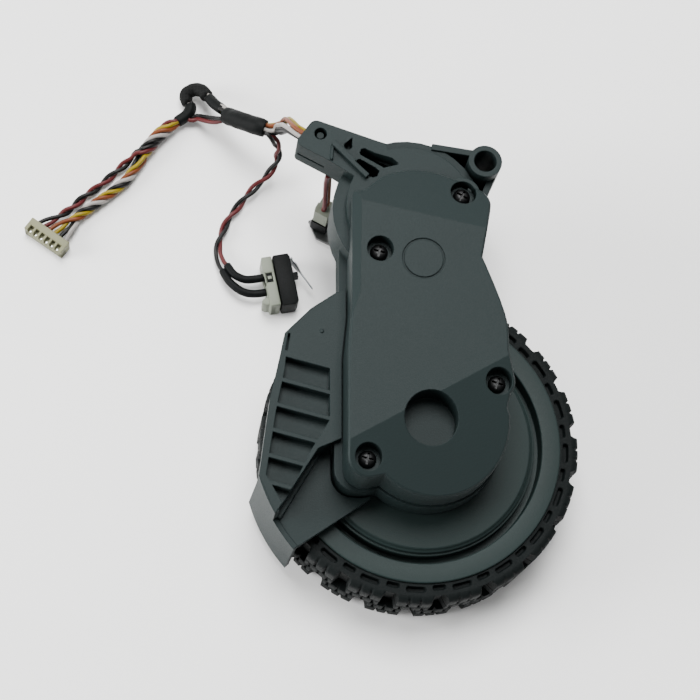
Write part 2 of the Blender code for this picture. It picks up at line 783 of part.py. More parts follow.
def faceted_prism(outline, low, lowered, chamfer=0.0):
    """A prism whose top is cut by the cover's facets, all lowered by the same amount."""
    work = bmesh.new()
    work.from_mesh(prism(outline, low, COVER_TOP - lowered))
    for (x, y), direction, slope in FACETS:
        result = bmesh.ops.bisect_plane(
            work,
            geom=work.verts[:] + work.edges[:] + work.faces[:],
            dist=1e-8,
            plane_co=(x, y, COVER_TOP - lowered),
            plane_no=facet_normal(direction, slope),
            clear_outer=True,
        )
        rim = [item for item in result["geom_cut"] if isinstance(item, bmesh.types.BMEdge)]
        bmesh.ops.edgeloop_fill(work, edges=rim)
    bmesh.ops.recalc_face_normals(work, faces=work.faces)
    if chamfer:
        edges = []
        for edge in work.edges:
            tilts = sorted(face.normal.z for face in edge.link_faces)
            if abs(tilts[0]) < 0.01 and tilts[1] > 0.5:
                edges.append(edge)
        bmesh.ops.bevel(work, geom=edges, offset=chamfer, segments=1, affect="EDGES", profile=0.5)
    return mesh_of(work)


def seat_height(place):
    """The floor of a counterbore, on which a screw's head rests."""
    return surface_height(*place) - COUNTERBORE_DEPTH


UPPER_BUSH_RADIUS = SHAFT_RADIUS + RUN_GAP + BUSH_WALL
SHAFT_TOP = RECESS_FLOOR - COVER_ROOF - SEAT_GAP


def cover_cavity():
    """The room inside the cover, with the posts, the recess cup and the bush collar left standing."""
    room = faceted_prism(grown(cover_outline(), -CASE_WALL), CASE_TOP - MM, COVER_ROOF)
    standing = []
    for place in SCREW_PLACES:
        cup = cylinder(
            place,
            COUNTERBORE_RADIUS + COUNTERBORE_WALL,
            seat_height(place) - COVER_ROOF,
            COVER_TOP + MM,
        )
        standing.append(joined(cup, cylinder(place, SCREW_POST_RADIUS, SCREW_POST_TOP + SEAT_GAP, COVER_TOP)))
    standing.append(
        cylinder(RECESS_CENTRE, RECESS_RADIUS + CASE_WALL, RECESS_FLOOR - COVER_ROOF, COVER_TOP + MM, ROUND_STEPS)
    )
    collar_radius = UPPER_BUSH_RADIUS + SEAT_GAP + CASE_WALL
    standing.append(cylinder(WHEEL_AXIS, collar_radius, OUTPUT_GEAR_TOP + LAYER_GAP, RECESS_FLOOR))
    boss_radius = AXLE_RADIUS + AXLE_BOSS_WALL
    standing.append(cylinder(GEAR_3_AT, boss_radius, GEAR_3_TOP + LAYER_GAP, COVER_TOP))
    return cut(room, *standing)


def side_strip():
    """What is cut away above the narrow slope along the cover's left edge."""
    work = bmesh.new()
    work.from_mesh(prism(SIDE_STRIP_CORNERS, COVER_TOP - 4 * MM, COVER_TOP + MM))
    edge_x, edge_y = SIDE_STRIP_CORNERS[0]
    result = bmesh.ops.bisect_plane(
        work,
        geom=work.verts[:] + work.edges[:] + work.faces[:],
        dist=1e-8,
        plane_co=(edge_x, edge_y, COVER_TOP),
        plane_no=facet_normal(math.radians(-90), SIDE_STRIP_SLOPE),
        clear_inner=True,
    )
    rim = [item for item in result["geom_cut"] if isinstance(item, bmesh.types.BMEdge)]
    bmesh.ops.edgeloop_fill(work, edges=rim)
    return mesh_of(work)


def ring_mark():
    """The shallow moulded ring on the main facet."""
    inner = RING_MARK_RADIUS - RING_MARK_WIDTH
    ring = tube(inner, RING_MARK_RADIUS, COVER_TOP - RING_MARK_DEPTH, COVER_TOP + MM, ROUND_STEPS)
    return moved(ring, *RING_MARK_CENTRE)


def build_cover(finishes):
    """The faceted, eared cover, which steps over the drum and its neck."""
    shell = faceted_prism(cover_outline(), CASE_TOP + SEAT_GAP, 0.0, COVER_EDGE_CHAMFER)
    tools = [cover_cavity()]
    below = CASE_TOP - MM
    tools.append(cylinder(MOTOR_AT, DRUM_RADIUS + SEAT_GAP, below, DRUM_TOP + SEAT_GAP, ROUND_STEPS))
    neck = cylinder(MOTOR_AT, NECK_RADIUS + SEAT_GAP, below, NECK_TOP + SEAT_GAP, ROUND_STEPS)
    post_foot = SCREW_POST_TOP + SEAT_GAP
    posts = [cylinder(place, SCREW_POST_RADIUS + STEP, post_foot - STEP, COVER_TOP) for place in SCREW_PLACES]
    tools.append(cut(neck, *posts))
    tools.append(cylinder(RECESS_CENTRE, RECESS_RADIUS, RECESS_FLOOR, COVER_TOP + MM, ROUND_STEPS))
    bush_hole = UPPER_BUSH_RADIUS + SEAT_GAP
    tools.append(cylinder(WHEEL_AXIS, bush_hole, OUTPUT_GEAR_TOP, SHAFT_TOP + SEAT_GAP))
    pin_hole = AXLE_RADIUS + SEAT_GAP
    tools.append(cylinder(GEAR_3_AT, pin_hole, GEAR_3_TOP, GEAR_1_TOP - 2 * MM + SEAT_GAP))
    for place in SCREW_PLACES:
        seat = seat_height(place)
        tools.append(cylinder(place, COUNTERBORE_RADIUS, seat, COVER_TOP + MM, 24))
        tools.append(cylinder(place, SCREW_SHANK_RADIUS + SEAT_GAP, SCREW_POST_TOP - MM, seat + MM, 12))
    tools += [ring_mark(), side_strip()]
    piece("gearbox_cover", cut(shell, *tools), finishes["housing"])


def screw_mesh():
    """A cross-head screw with its head's underside at z = 0."""
    head = [
        (0, -SCREW_LENGTH),
        (SCREW_SHANK_RADIUS * 0.4, -SCREW_LENGTH),
        (SCREW_SHANK_RADIUS, -SCREW_LENGTH * 0.8),
        (SCREW_SHANK_RADIUS, 0),
        (SCREW_HEAD_RADIUS, 0),
        (SCREW_HEAD_RADIUS, SCREW_HEAD_HEIGHT * 0.5),
        (SCREW_HEAD_RADIUS * 0.7, SCREW_HEAD_HEIGHT),
        (0, SCREW_HEAD_HEIGHT),
    ]
    screw = spun(head, 12)
    long_side = SCREW_HEAD_RADIUS * 1.3
    floor = SCREW_HEAD_HEIGHT * 0.45
    cross = joined(
        block((0, 0), (long_side, SCREW_CROSS_WIDTH), floor, 2 * SCREW_HEAD_HEIGHT),
        block((0, 0), (SCREW_CROSS_WIDTH, long_side), floor - 0.01 * MM, 2.1 * SCREW_HEAD_HEIGHT),
    )
    return cut(screw, cross)


def build_cover_screws(finishes):
    """Four like screws, each seated at the bottom of its counterbore."""
    shared = screw_mesh()
    turns = (0.5, 1.1, 0.2, 0.8)
    for index, (place, turn) in enumerate(zip(SCREW_PLACES, turns), 1):
        height = seat_height(place) + SEAT_GAP / 3
        piece(f"cover_screw_{index}", shared, finishes["black_steel"], None, (*place, height), turn)


# Housing

def case_rooms():
    """The rooms to be hollowed out of the housing: the gear case and the space above the motor."""
    inside = grown(cover_outline(), -CASE_WALL)
    low_room = prism(inside, CASE_INSIDE, MOTOR_WALL_TOP + MM)
    sleeve = MOTOR_BORE + MOTOR_SLEEVE_WALL
    boss_radius = AXLE_RADIUS + AXLE_BOSS_WALL
    standing = [cylinder(MOTOR_AT, sleeve, CASE_BOTTOM, COVER_TOP, ROUND_STEPS)]
    standing.append(cylinder(GEAR_3_AT, boss_radius, CASE_BOTTOM, CASE_INSIDE + SEAT_GAP))
    standing.append(cylinder(GEAR_2_AT, boss_radius, CASE_BOTTOM, GEAR_3_LARGE_FOOT - SEAT_GAP))
    collar = SHAFT_RADIUS + RUN_GAP + BUSH_WALL + SEAT_GAP + CASE_WALL
    standing.append(cylinder(WHEEL_AXIS, collar, CASE_BOTTOM, OUTPUT_GEAR_FOOT - BUSH_FLANGE_THICKNESS - 2 * SEAT_GAP))
    post = SCREW_POST_RADIUS + STEP
    for place in SCREW_PLACES[2:]:
        standing.append(cylinder(place, post, CASE_BOTTOM, COVER_TOP))
    high_room = prism(grown(cover_outline(), -CASE_WALL - STEP), MOTOR_WALL_TOP, NECK_TOP + MM)
    posts = [cylinder(place, post + STEP, CASE_BOTTOM, COVER_TOP) for place in SCREW_PLACES]
    return cut(low_room, *standing), cut(high_room, *posts)


def arm_mesh():
    """The flat arm with its cable exit, hole, teardrop, slots and spring hook rib."""
    arm = prism(ARM_CORNERS, ARM_BOTTOM, ARM_TOP)
    hook = bar(SPRING_HOOK_FROM, SPRING_HOOK_TO, SPRING_HOOK_WIDTH, ARM_TOP - MM, ARM_TOP + SPRING_HOOK_HEIGHT)
    return joined(arm, hook)


def arm_cuts():
    hole = cylinder(ARM_HOLE_AT, ARM_HOLE_RADIUS, ARM_TOP - ARM_HOLE_DEPTH, ARM_TOP + MM)
    drop = arc(TEARDROP_AT, TEARDROP_RADIUS, 110, 380, 10)
    tail = along(TEARDROP_AT, math.radians(65), TEARDROP_LENGTH)
    teardrop = prism([*drop, tail], ARM_TOP - TEARDROP_DEPTH, ARM_TOP + MM)
    upper_slot = [(-15.0, 61.0), (-14.9, 59.9), (-9.8, 57.0), (-6.8, 58.0), (-8.2, 59.2)]
    lower_slot = [(-16.4, 57.6), (-13.0, 54.4), (-12.2, 55.2), (-15.6, 58.6)]
    slots = [
        prism([(x * MM, y * MM) for x, y in slot], ARM_SLOT_FLOOR, ARM_TOP + 3 * MM)
        for slot in (upper_slot, lower_slot)
    ]
    direction = math.atan2(ARM_CORNERS[0][1] - ARM_CORNERS[1][1], ARM_CORNERS[0][0] - ARM_CORNERS[1][0])
    cable = cylinder((0, 0), CABLE_EXIT_RADIUS, -CABLE_EXIT_DEPTH, CABLE_EXIT_DEPTH, 16)
    cable.transform(Matrix.Rotation(math.pi / 2, 4, "Y"))
    cable.transform(Matrix.Rotation(direction, 4, "Z"))
    cable.transform(Matrix.Translation(CABLE_EXIT_AT))
    side = along(ARM_CORNERS[0], direction, -MM)
    groove = bar(side, along(ARM_CORNERS[1], direction, MM), 1.2 * MM, 31.0 * MM, 31.7 * MM)
    return [hole, teardrop, *slots, cable, groove]


def pivot_parts():
    """The pivot tube, its foot plate and its two upright webs."""
    tube_body = cylinder(PIVOT_AT, PIVOT_RADIUS, PIVOT_BOTTOM, PIVOT_TOP, ROUND_STEPS)
    plate_corners = [(2.0, 58.0), (8.0, 48.0), (11.2, 48.0), (15.4, 57.4), (12.6, 62.7), (1.0, 63.8)]
    plate = prism([(x * MM, y * MM) for x, y in plate_corners], DRUM_BOTTOM, WEB_PLATE_TOP)
    upper_web = bar((1.0 * MM, 63.4 * MM), (12.0 * MM, 62.0 * MM), WEB_THICKNESS, DRUM_BOTTOM, WEB_TOP)
    lower_web = bar((14.2 * MM, 56.8 * MM), (10.4 * MM, 47.6 * MM), WEB_THICKNESS, DRUM_BOTTOM, WEB_TOP)
    return [tube_body, plate, upper_web, lower_web]


def build_housing(finishes):
    """The rear moulding: gear case, motor drum, neck, arm and pivot tube in one piece."""
    case = prism(case_outline(), CASE_BOTTOM, CASE_TOP)
    drum = cylinder(MOTOR_AT, DRUM_RADIUS, DRUM_BOTTOM, DRUM_TOP, FINE_STEPS)
    neck = cylinder(MOTOR_AT, NECK_RADIUS, DRUM_BOTTOM + MM, NECK_TOP, FINE_STEPS)
    inside_cover = prism(grown(cover_outline(), -CASE_WALL - SEAT_GAP), CASE_FLOOR, COVER_TOP)
    posts = []
    for place in SCREW_PLACES:
        post = cylinder(place, SCREW_POST_RADIUS, CASE_INSIDE - STEP, SCREW_POST_TOP)
        posts.append(combined(post, [inside_cover], "INTERSECT"))
    beside_cover = prism(grown(cover_outline(), SEAT_GAP), CASE_TOP - STEP, COVER_TOP)
    core = cylinder(MOTOR_AT, (DRUM_RADIUS + NECK_RADIUS) / 2, DRUM_BOTTOM + MM, CASE_TOP + MM)
    outside = cut(joined(core, arm_mesh(), *pivot_parts()), beside_cover)
    solid = joined(case, drum, neck, outside, *posts)
    tools = [*case_rooms(), *arm_cuts()]
    tools.append(cylinder(MOTOR_AT, MOTOR_BORE, DRUM_BOTTOM - MM, MOTOR_TOP + SEAT_GAP, ROUND_STEPS))
    nose_hole = MOTOR_NOSE_RADIUS + SEAT_GAP
    tools.append(cylinder(MOTOR_AT, nose_hole, MOTOR_TOP, MOTOR_WALL_TOP + MM))
    tools.append(cylinder(PIVOT_AT, PIVOT_BORE, PIVOT_BOTTOM - MM, PIVOT_TOP + MM, 24))
    bush_hole = SHAFT_RADIUS + RUN_GAP + BUSH_WALL + SEAT_GAP
    tools.append(cylinder(WHEEL_AXIS, bush_hole, CASE_BOTTOM - MM, OUTPUT_GEAR_FOOT))
    pin_hole = AXLE_RADIUS + SEAT_GAP / 3
    for place in (GEAR_3_AT, GEAR_2_AT):
        tools.append(cylinder(place, pin_hole, PIN_HOLE_FLOOR, GEAR_3_LARGE_FOOT))
    tools.append(cylinder(GEAR_1_AT, pin_hole, MOTOR_TOP, MOTOR_WALL_TOP + MM))
    pilot = SCREW_SHANK_RADIUS + SEAT_GAP / 3
    for place in SCREW_PLACES:
        above = SCREW_POST_RADIUS + SEAT_GAP
        tools.append(cylinder(place, above, SCREW_POST_TOP - STEP, COVER_TOP, 20))
        tip = seat_height(place) - SCREW_LENGTH - SEAT_GAP
        tools.append(cylinder(place, pilot, tip, SCREW_POST_TOP + MM, 12))
    piece("drive_housing", cut(solid, *tools), finishes["housing"])


# Wheel guard

def guard_outline():
    """The ribbed fender seen from above, from the bridge at the gear case round to its tip."""
    outline = [(-12.0 * MM, 0.6 * MM), (-12.0 * MM, 31.0 * MM)]
    edge = [(-17.2, 31.0), (-19.9, 29.8), (-25.1, 26.2), (-29.3, 21.9), (-30.7, 20.4), (-31.4, 16.7), (-33.6, 6.1)]
    outline += [(x * MM, y * MM) for x, y in edge]
    outline.append(along(WHEEL_AXIS, SKIRT_START, SKIRT_RADIUS - 0.1 * MM))
    outline.append(along(WHEEL_AXIS, SKIRT_RIBBED_END, SKIRT_RADIUS - 0.1 * MM))
    outline.append((-23.4 * MM, -4.6 * MM))
    return outline


def guard_pockets():
    """The pockets between the ribs, cut from the zone inside the side walls by slanted lines."""
    zone = [(x * MM, y * MM) for x, y in ((-18.0, 25.0), (-29.6, 25.0), (-30.6, 12.4), (-32.3, 3.4))]
    zone.append(along(WHEEL_AXIS, SKIRT_START + 0.01, SKIRT_RADIUS - GUARD_SIDE_WALL))
    zone.append(along(WHEEL_AXIS, SKIRT_RIBBED_END - 0.02, SKIRT_RADIUS - 1.6 * GUARD_SIDE_WALL))
    zone += [(-24.8 * MM, -4.9 * MM), (-21.0 * MM, 1.6 * MM), (-21.0 * MM, 25.0 * MM)]
    pockets = []
    for row in range(GUARD_RIB_COUNT):
        top = (GUARD_RIB_START[0], GUARD_RIB_START[1] - row * GUARD_RIB_PITCH)
        bottom = (top[0], top[1] - GUARD_RIB_PITCH + GUARD_RIB_WALL)
        pocket = clipped(zone[1:], top, GUARD_RIB_ANGLE + math.pi)
        if row < GUARD_RIB_COUNT - 1:
            pocket = clipped(pocket, bottom, GUARD_RIB_ANGLE)
        pockets.append(prism(pocket, GUARD_TOP - GUARD_POCKET_DEPTH, GUARD_TOP + MM))
    return pockets


def guard_plate_outline():
    """The flat lower plate, from the slanted wall to the gear case."""
    outline = [(-12.0 * MM, -4.0 * MM), (-22.6 * MM, -4.0 * MM)]
    outline.append(along(WHEEL_AXIS, SKIRT_RIBBED_END, SKIRT_RADIUS - SKIRT_WALL / 2))
    outline.append(along(WHEEL_AXIS, SKIRT_END, SKIRT_RADIUS - SKIRT_WALL / 2))
    outline.append((-11.6 * MM, -13.7 * MM))
    return outline


def skirt(start, end, top):
    """A stretch of the curved wall round the tyre, a little wider at its foot."""
    profile = [
        (SKIRT_RADIUS + SKIRT_FLARE - SKIRT_WALL, SKIRT_BOTTOM),
        (SKIRT_RADIUS + SKIRT_FLARE, SKIRT_BOTTOM),
        (SKIRT_RADIUS, GUARD_PLATE_TOP),
        (SKIRT_RADIUS, top),
        (SKIRT_RADIUS - SKIRT_WALL, top),
        (SKIRT_RADIUS - SKIRT_WALL, GUARD_PLATE_TOP),
    ]
    return spun(profile, 10, start, end - start)


def build_guard(finishes):
    """The fender over the wheel: ribbed pockets, bridge, flat plate and skirt in one moulding."""
    foot = GUARD_TOP - GUARD_POCKET_DEPTH - GUARD_FLOOR
    body = prism(guard_outline(), foot, GUARD_TOP)
    plate_foot = GUARD_PLATE_TOP - GUARD_PLATE_THICKNESS
    plate = prism(guard_plate_outline(), plate_foot, GUARD_PLATE_TOP)
    high_skirt = skirt(SKIRT_START, SKIRT_RIBBED_END, GUARD_TOP - 0.2 * MM)
    low_skirt = skirt(SKIRT_RIBBED_END - 0.01, SKIRT_END, GUARD_PLATE_TOP + 0.1 * MM)
    tip = along(WHEEL_AXIS, SKIRT_RIBBED_END, SKIRT_RADIUS - SKIRT_WALL)
    slant = bar(tip, (-22.8 * MM, -3.6 * MM), 1.4 * MM, plate_foot + 0.1 * MM, foot + MM)
    solid = joined(body, plate, high_skirt, low_skirt, slant)
    low_case = grown(case_outline(), SEAT_GAP)
    high_case = grown(cover_outline(), SEAT_GAP)
    tools = [
        prism(low_case, CASE_BOTTOM - MM, CASE_TOP + SEAT_GAP),
        prism(high_case, CASE_TOP, COVER_TOP),
        bar((-29.7 * MM, 20.4 * MM), (-30.3 * MM, 16.6 * MM), 0.5 * MM, GUARD_TOP - 2 * MM, GUARD_TOP + MM),
        *guard_pockets(),
    ]
    piece("wheel_guard", cut(solid, *tools), finishes["housing"])


# Wheel

def tread_angles():
    """Angles round the tyre at which a lug of either row starts, rises, falls or ends."""
    pitch = math.tau / LUG_COUNT
    top = LUG_SHARE / 2
    foot = top + LUG_RAMP_SHARE
    marks = []
    for shift in (0.0, 0.5):
        for edge in (-foot, -top, top, foot):
            marks.append((edge + shift) % 1)
    return [LUG_PHASE + pitch * (lug + mark) for lug in range(LUG_COUNT) for mark in sorted(marks)]


def tread_radius(angle, shift):
    """The tread's radius at an angle, on the row whose lugs are shifted by a share of the pitch."""
    pitch = math.tau / LUG_COUNT
    share = abs(((angle - LUG_PHASE) / pitch - shift + 0.5) % 1 - 0.5)
    rise = (LUG_SHARE / 2 + LUG_RAMP_SHARE - share) / LUG_RAMP_SHARE
    return TYRE_RADIUS - LUG_DEPTH * (1 - min(1.0, max(0.0, rise)))


def build_tyre(finishes, axis):
    """The tyre: two rows of lugs, the inner row half a pitch behind the outer one."""
    work = bmesh.new()
    seat = RIM_RADIUS + SEAT_GAP
    shoulder = TYRE_RADIUS - LUG_DEPTH + 0.4 * MM
    rings = []
    for angle in tread_angles():
        outer = tread_radius(angle, 0.5)
        inner = tread_radius(angle, 0.0)
        profile = [
            (seat, 0),
            (shoulder, 0),
            (outer, TYRE_SHOULDER),
            (outer, TYRE_WIDTH / 2 - ROW_STEP),
            (inner, TYRE_WIDTH / 2 + ROW_STEP),
            (inner, TYRE_WIDTH - TYRE_SHOULDER),
            (shoulder, TYRE_WIDTH),
            (seat, TYRE_WIDTH),
        ]
        rings.append(
            [work.verts.new((r * math.cos(angle), r * math.sin(angle), z)) for r, z in profile]
        )
    for here, following in zip(rings, rings[1:] + rings[:1]):
        for index in range(len(here)):
            work.faces.new((here[index - 1], following[index - 1], following[index], here[index]))
    piece("tyre", mesh_of(work), finishes["tyre"], axis)


def rim_profile():
    """The turned section of the rim: plate, groove, ring, barrel and hub."""
    top = RIM_TOP + RIM_DISC_RISE
    ring_inner = RIM_RADIUS - RIM_RING_WIDTH
    disc_edge = ring_inner - RIM_GROOVE_WIDTH
    groove_floor = RIM_TOP - RIM_GROOVE_DEPTH
    barrel_inner = RIM_RADIUS - RIM_BARREL_WALL
    under_groove = groove_floor - RIM_BARREL_WALL
    bore = SHAFT_RADIUS + SEAT_GAP / 3
    foot = 0.6 * MM
    return [
        (bore, top),
        (bore, HUB_SCREW_SEAT),
        (SCREW_SHANK_RADIUS + 0.4 * MM, HUB_SCREW_SEAT),
        (SCREW_SHANK_RADIUS + 0.4 * MM, HUB_SCREW_SEAT - 1.2 * MM),
        (HUB_RADIUS - 1.6 * MM, HUB_SCREW_SEAT - 1.2 * MM),
        (HUB_RADIUS - 1.6 * MM, foot + WHEEL_COVER_THICKNESS + SEAT_GAP),
        (HUB_RADIUS, foot + WHEEL_COVER_THICKNESS + SEAT_GAP),
        (HUB_RADIUS, top - RIM_PLATE),
        (disc_edge - RIM_DISC_EDGE, top - RIM_PLATE),
        (disc_edge - RIM_BARREL_WALL, under_groove),
        (barrel_inner, under_groove),
        (barrel_inner, foot + WHEEL_COVER_THICKNESS + SEAT_GAP),
        (RIM_RADIUS - MM, foot + WHEEL_COVER_THICKNESS + SEAT_GAP),
        (RIM_RADIUS - MM, foot),
        (RIM_RADIUS, foot + 0.3 * MM),
        (RIM_RADIUS, RIM_TOP - 0.3 * MM),
        (RIM_RADIUS - 0.3 * MM, RIM_TOP),
        (ring_inner + 0.3 * MM, RIM_TOP),
        (ring_inner, RIM_TOP - 0.3 * MM),
        (ring_inner, groove_floor),
        (disc_edge, groove_floor),
        (disc_edge, RIM_TOP + 0.2 * MM),
        (disc_edge - RIM_DISC_EDGE, top),
    ]


def build_wheel(finishes, axis):
    """Rim, outer cover, shaft, output gear and hub screw."""
    rim = spun(rim_profile(), FINE_STEPS)
    ribs = []
    rib_foot = 0.6 * MM + WHEEL_COVER_THICKNESS + 2 * SEAT_GAP
    barrel_middle = RIM_RADIUS - RIM_BARREL_WALL / 2
    for index in range(RIM_RIB_COUNT):
        angle = math.tau * index / RIM_RIB_COUNT
        start = along(WHEEL_AXIS, angle, HUB_RADIUS - 0.5 * MM)
        end = along(WHEEL_AXIS, angle, barrel_middle)
        ribs.append(bar(start, end, RIM_RIB_THICKNESS, rib_foot, RIM_TOP - RIM_GROOVE_DEPTH - MM))
    piece("wheel_rim", joined(rim, *ribs), finishes["rim"], axis)

    build_tyre(finishes, axis)
    piece("wheel_cover", wheel_cover_mesh(), finishes["rim"], axis)

    output = gear_mesh(OUTPUT_TEETH, OUTPUT_MODULE, 0.0, OUTPUT_GEAR_FOOT, OUTPUT_GEAR_TOP)
    output = cut(output, cylinder((0, 0), SHAFT_RADIUS + SEAT_GAP / 3, 0, COVER_TOP, 24))
    piece("output_gear", output, finishes["gear"], axis)

    spindle = shaft(SHAFT_RADIUS, SHAFT_FOOT, SHAFT_TOP, 0.4 * MM, 24)
    thread = cylinder((0, 0), SCREW_SHANK_RADIUS + SEAT_GAP, 0, SHAFT_FOOT + 8 * MM, 12)
    piece("output_shaft", cut(spindle, thread), finishes["steel"], axis)

    seat = HUB_SCREW_SEAT - 1.2 * MM - SEAT_GAP / 3
    hub_screw = [
        (0, seat - 1.4 * MM),
        (2.2 * MM, seat - 1.4 * MM),
        (2.8 * MM, seat - 0.9 * MM),
        (2.8 * MM, seat),
        (SCREW_SHANK_RADIUS, seat),
        (SCREW_SHANK_RADIUS, SHAFT_FOOT + 6 * MM),
        (0, SHAFT_FOOT + 6.6 * MM),
    ]
    piece("hub_screw", spun(hub_screw, 16), finishes["steel"], axis)


def wheel_cover_mesh():
    """The dished disc that closes the wheel's outer face, with shallow lobes round its hub."""
    radius = RIM_RADIUS - MM - SEAT_GAP
    top = 0.3 * MM + WHEEL_COVER_THICKNESS
    profile = [
        (0, top),
        (0, 0),
        (7.5 * MM, 0),
        (8.3 * MM, 0.8 * MM),
        (radius - 3.0 * MM, 0.8 * MM),
        (radius - 2.4 * MM, 0.2 * MM),
        (radius, 0.2 * MM),
        (radius, top),
    ]
    disc = spun(profile, FINE_STEPS)
    lobes = []
    for index in range(WHEEL_COVER_LOBES):
        angle = math.tau * (index + 0.5) / WHEEL_COVER_LOBES
        near = along(WHEEL_AXIS, angle, 13.0 * MM)
        far = along(WHEEL_AXIS, angle, 19.5 * MM)
        lobe = bar(near, far, 4.6 * MM, 0, 0.8 * MM + WHEEL_COVER_LOBE_DEPTH)
        lobes.append(lobe)
    return cut(disc, *lobes)


def build_bushes(finishes):
    """The flanged bush in the case floor and the plain bush under the recess."""
    inner = SHAFT_RADIUS + RUN_GAP
    outer = inner + BUSH_WALL
    flange_top = OUTPUT_GEAR_FOOT - SEAT_GAP
    flange_foot = flange_top - BUSH_FLANGE_THICKNESS
    profile = [
        (inner, CASE_BOTTOM),
        (outer, CASE_BOTTOM),
        (outer, flange_foot),
        (outer + BUSH_FLANGE, flange_foot),
        (outer + BUSH_FLANGE, flange_top),
        (inner, flange_top),
    ]
    piece("output_bush_lower", spun(profile, 24), finishes["bronze"])
    foot = OUTPUT_GEAR_TOP + SEAT_GAP
    piece("output_bush_upper", tube(inner, outer, foot, SHAFT_TOP, 24), finishes["bronze"])


# Motor

def build_motor(finishes):
    """Can, magnets, bushes, end cap, terminals and encoder board: all that stands still."""
    inner = MOTOR_RADIUS - MOTOR_WALL
    bush_hole = MOTOR_BUSH_RADIUS + SEAT_GAP / 3
    nose_top = MOTOR_TOP + MOTOR_NOSE_HEIGHT
    can = [
        (bush_hole, MOTOR_TOP - MOTOR_WALL),
        (inner, MOTOR_TOP - MOTOR_WALL),
        (inner, MOTOR_BOTTOM),
        (MOTOR_RADIUS, MOTOR_BOTTOM),
        (MOTOR_RADIUS, MOTOR_TOP - MOTOR_WALL),
        (MOTOR_RADIUS - MOTOR_WALL, MOTOR_TOP),
        (MOTOR_NOSE_RADIUS, MOTOR_TOP),
        (MOTOR_NOSE_RADIUS, nose_top),
        (bush_hole, nose_top),
    ]
    piece("motor_can", moved(spun(can, ROUND_STEPS), *MOTOR_AT), finishes["zinc"])

    shaft_hole = MOTOR_SHAFT_RADIUS + RUN_GAP
    bush_foot = MOTOR_TOP - MOTOR_WALL - 0.8 * MM
    front = tube(shaft_hole, MOTOR_BUSH_RADIUS, bush_foot, nose_top - 0.1 * MM, 16)
    piece("motor_bush_front", moved(front, *MOTOR_AT), finishes["bronze"])

    magnet_outer = inner - SEAT_GAP
    magnet = [
        (magnet_outer - MAGNET_THICKNESS, MOTOR_BOTTOM + 4 * MM),
        (magnet_outer, MOTOR_BOTTOM + 4 * MM),
        (magnet_outer, MOTOR_TOP - 4 * MM),
        (magnet_outer - MAGNET_THICKNESS, MOTOR_TOP - 4 * MM),
    ]
    for index in (1, 2):
        start = math.pi * index - MAGNET_SPAN / 2
        shell = moved(spun(magnet, 12, start, MAGNET_SPAN), *MOTOR_AT)
        piece(f"motor_magnet_{index}", shell, finishes["ferrite"])

    cap_foot = MOTOR_BOTTOM - END_CAP_THICKNESS - SEAT_GAP
    cap_plate = MOTOR_BOTTOM - SEAT_GAP
    plug_top = cap_plate + END_CAP_PLUG
    cap = [
        (bush_hole, cap_foot),
        (MOTOR_RADIUS - 0.4 * MM, cap_foot),
        (MOTOR_RADIUS - 0.1 * MM, cap_foot + 0.3 * MM),
        (MOTOR_RADIUS - 0.1 * MM, cap_plate),
        (inner - SEAT_GAP, cap_plate),
        (inner - SEAT_GAP, plug_top),
        (bush_hole, plug_top),
    ]
    slots = []
    for side in (-1, 1):
        slots.append(
            block(
                (side * TERMINAL_OFFSET, 0),
                (TERMINAL_SIZE[1] + 2 * SEAT_GAP / 3, TERMINAL_SIZE[0] + 2 * SEAT_GAP / 3),
                0,
                plug_top + MM,
            )
        )
    piece("motor_end_cap", moved(cut(spun(cap, ROUND_STEPS), *slots), *MOTOR_AT), finishes["black_nylon"])
    rear = tube(shaft_hole, MOTOR_BUSH_RADIUS, cap_foot + 0.1 * MM, plug_top - 0.1 * MM, 16)
    piece("motor_bush_rear", moved(rear, *MOTOR_AT), finishes["bronze"])

    for index, side in enumerate((-1, 1), 1):
        centre = (MOTOR_AT[0] + side * TERMINAL_OFFSET, MOTOR_AT[1])
        tab = block(centre, (TERMINAL_SIZE[1], TERMINAL_SIZE[0]), 0.7 * MM, plug_top + 1.2 * MM)
        piece(f"motor_terminal_{index}", tab, finishes["brass"])
        brush_at = (MOTOR_AT[0] + side * (COMMUTATOR_RADIUS + RUN_GAP + BRUSH_SIZE[0] / 2), MOTOR_AT[1])
        brush = block(brush_at, BRUSH_SIZE[:2], plug_top + SEAT_GAP, plug_top + SEAT_GAP + BRUSH_SIZE[2])
        piece(f"motor_brush_{index}", brush, finishes["carbon"])

    build_board(finishes)


def board_outline():
    """The round board with a tongue under the motor plug."""
    outline = arc(MOTOR_AT, BOARD_RADIUS, -190, 130, 30)
    outline += [(-19.0 * MM, 59.5 * MM), (-23.6 * MM, 57.2 * MM), (-21.8 * MM, 53.0 * MM)]
    return outline


def build_board(finishes):
    """The encoder board, held on the motor's terminals."""
    top = BOARD_BOTTOM + BOARD_THICKNESS
    board = prism(board_outline(), BOARD_BOTTOM, top)
    tools = [cylinder(MOTOR_AT, MOTOR_SHAFT_RADIUS + 2 * SEAT_GAP, 0, 10 * MM, 16)]
    for side in (-1, 1):
        centre = (MOTOR_AT[0] + side * TERMINAL_OFFSET, MOTOR_AT[1])
        size = (TERMINAL_SIZE[1] + 2 * SEAT_GAP / 3, TERMINAL_SIZE[0] + 2 * SEAT_GAP / 3)
        tools.append(block(centre, size, 0, 10 * MM))
    piece("encoder_board", cut(board, *tools), finishes["board"])


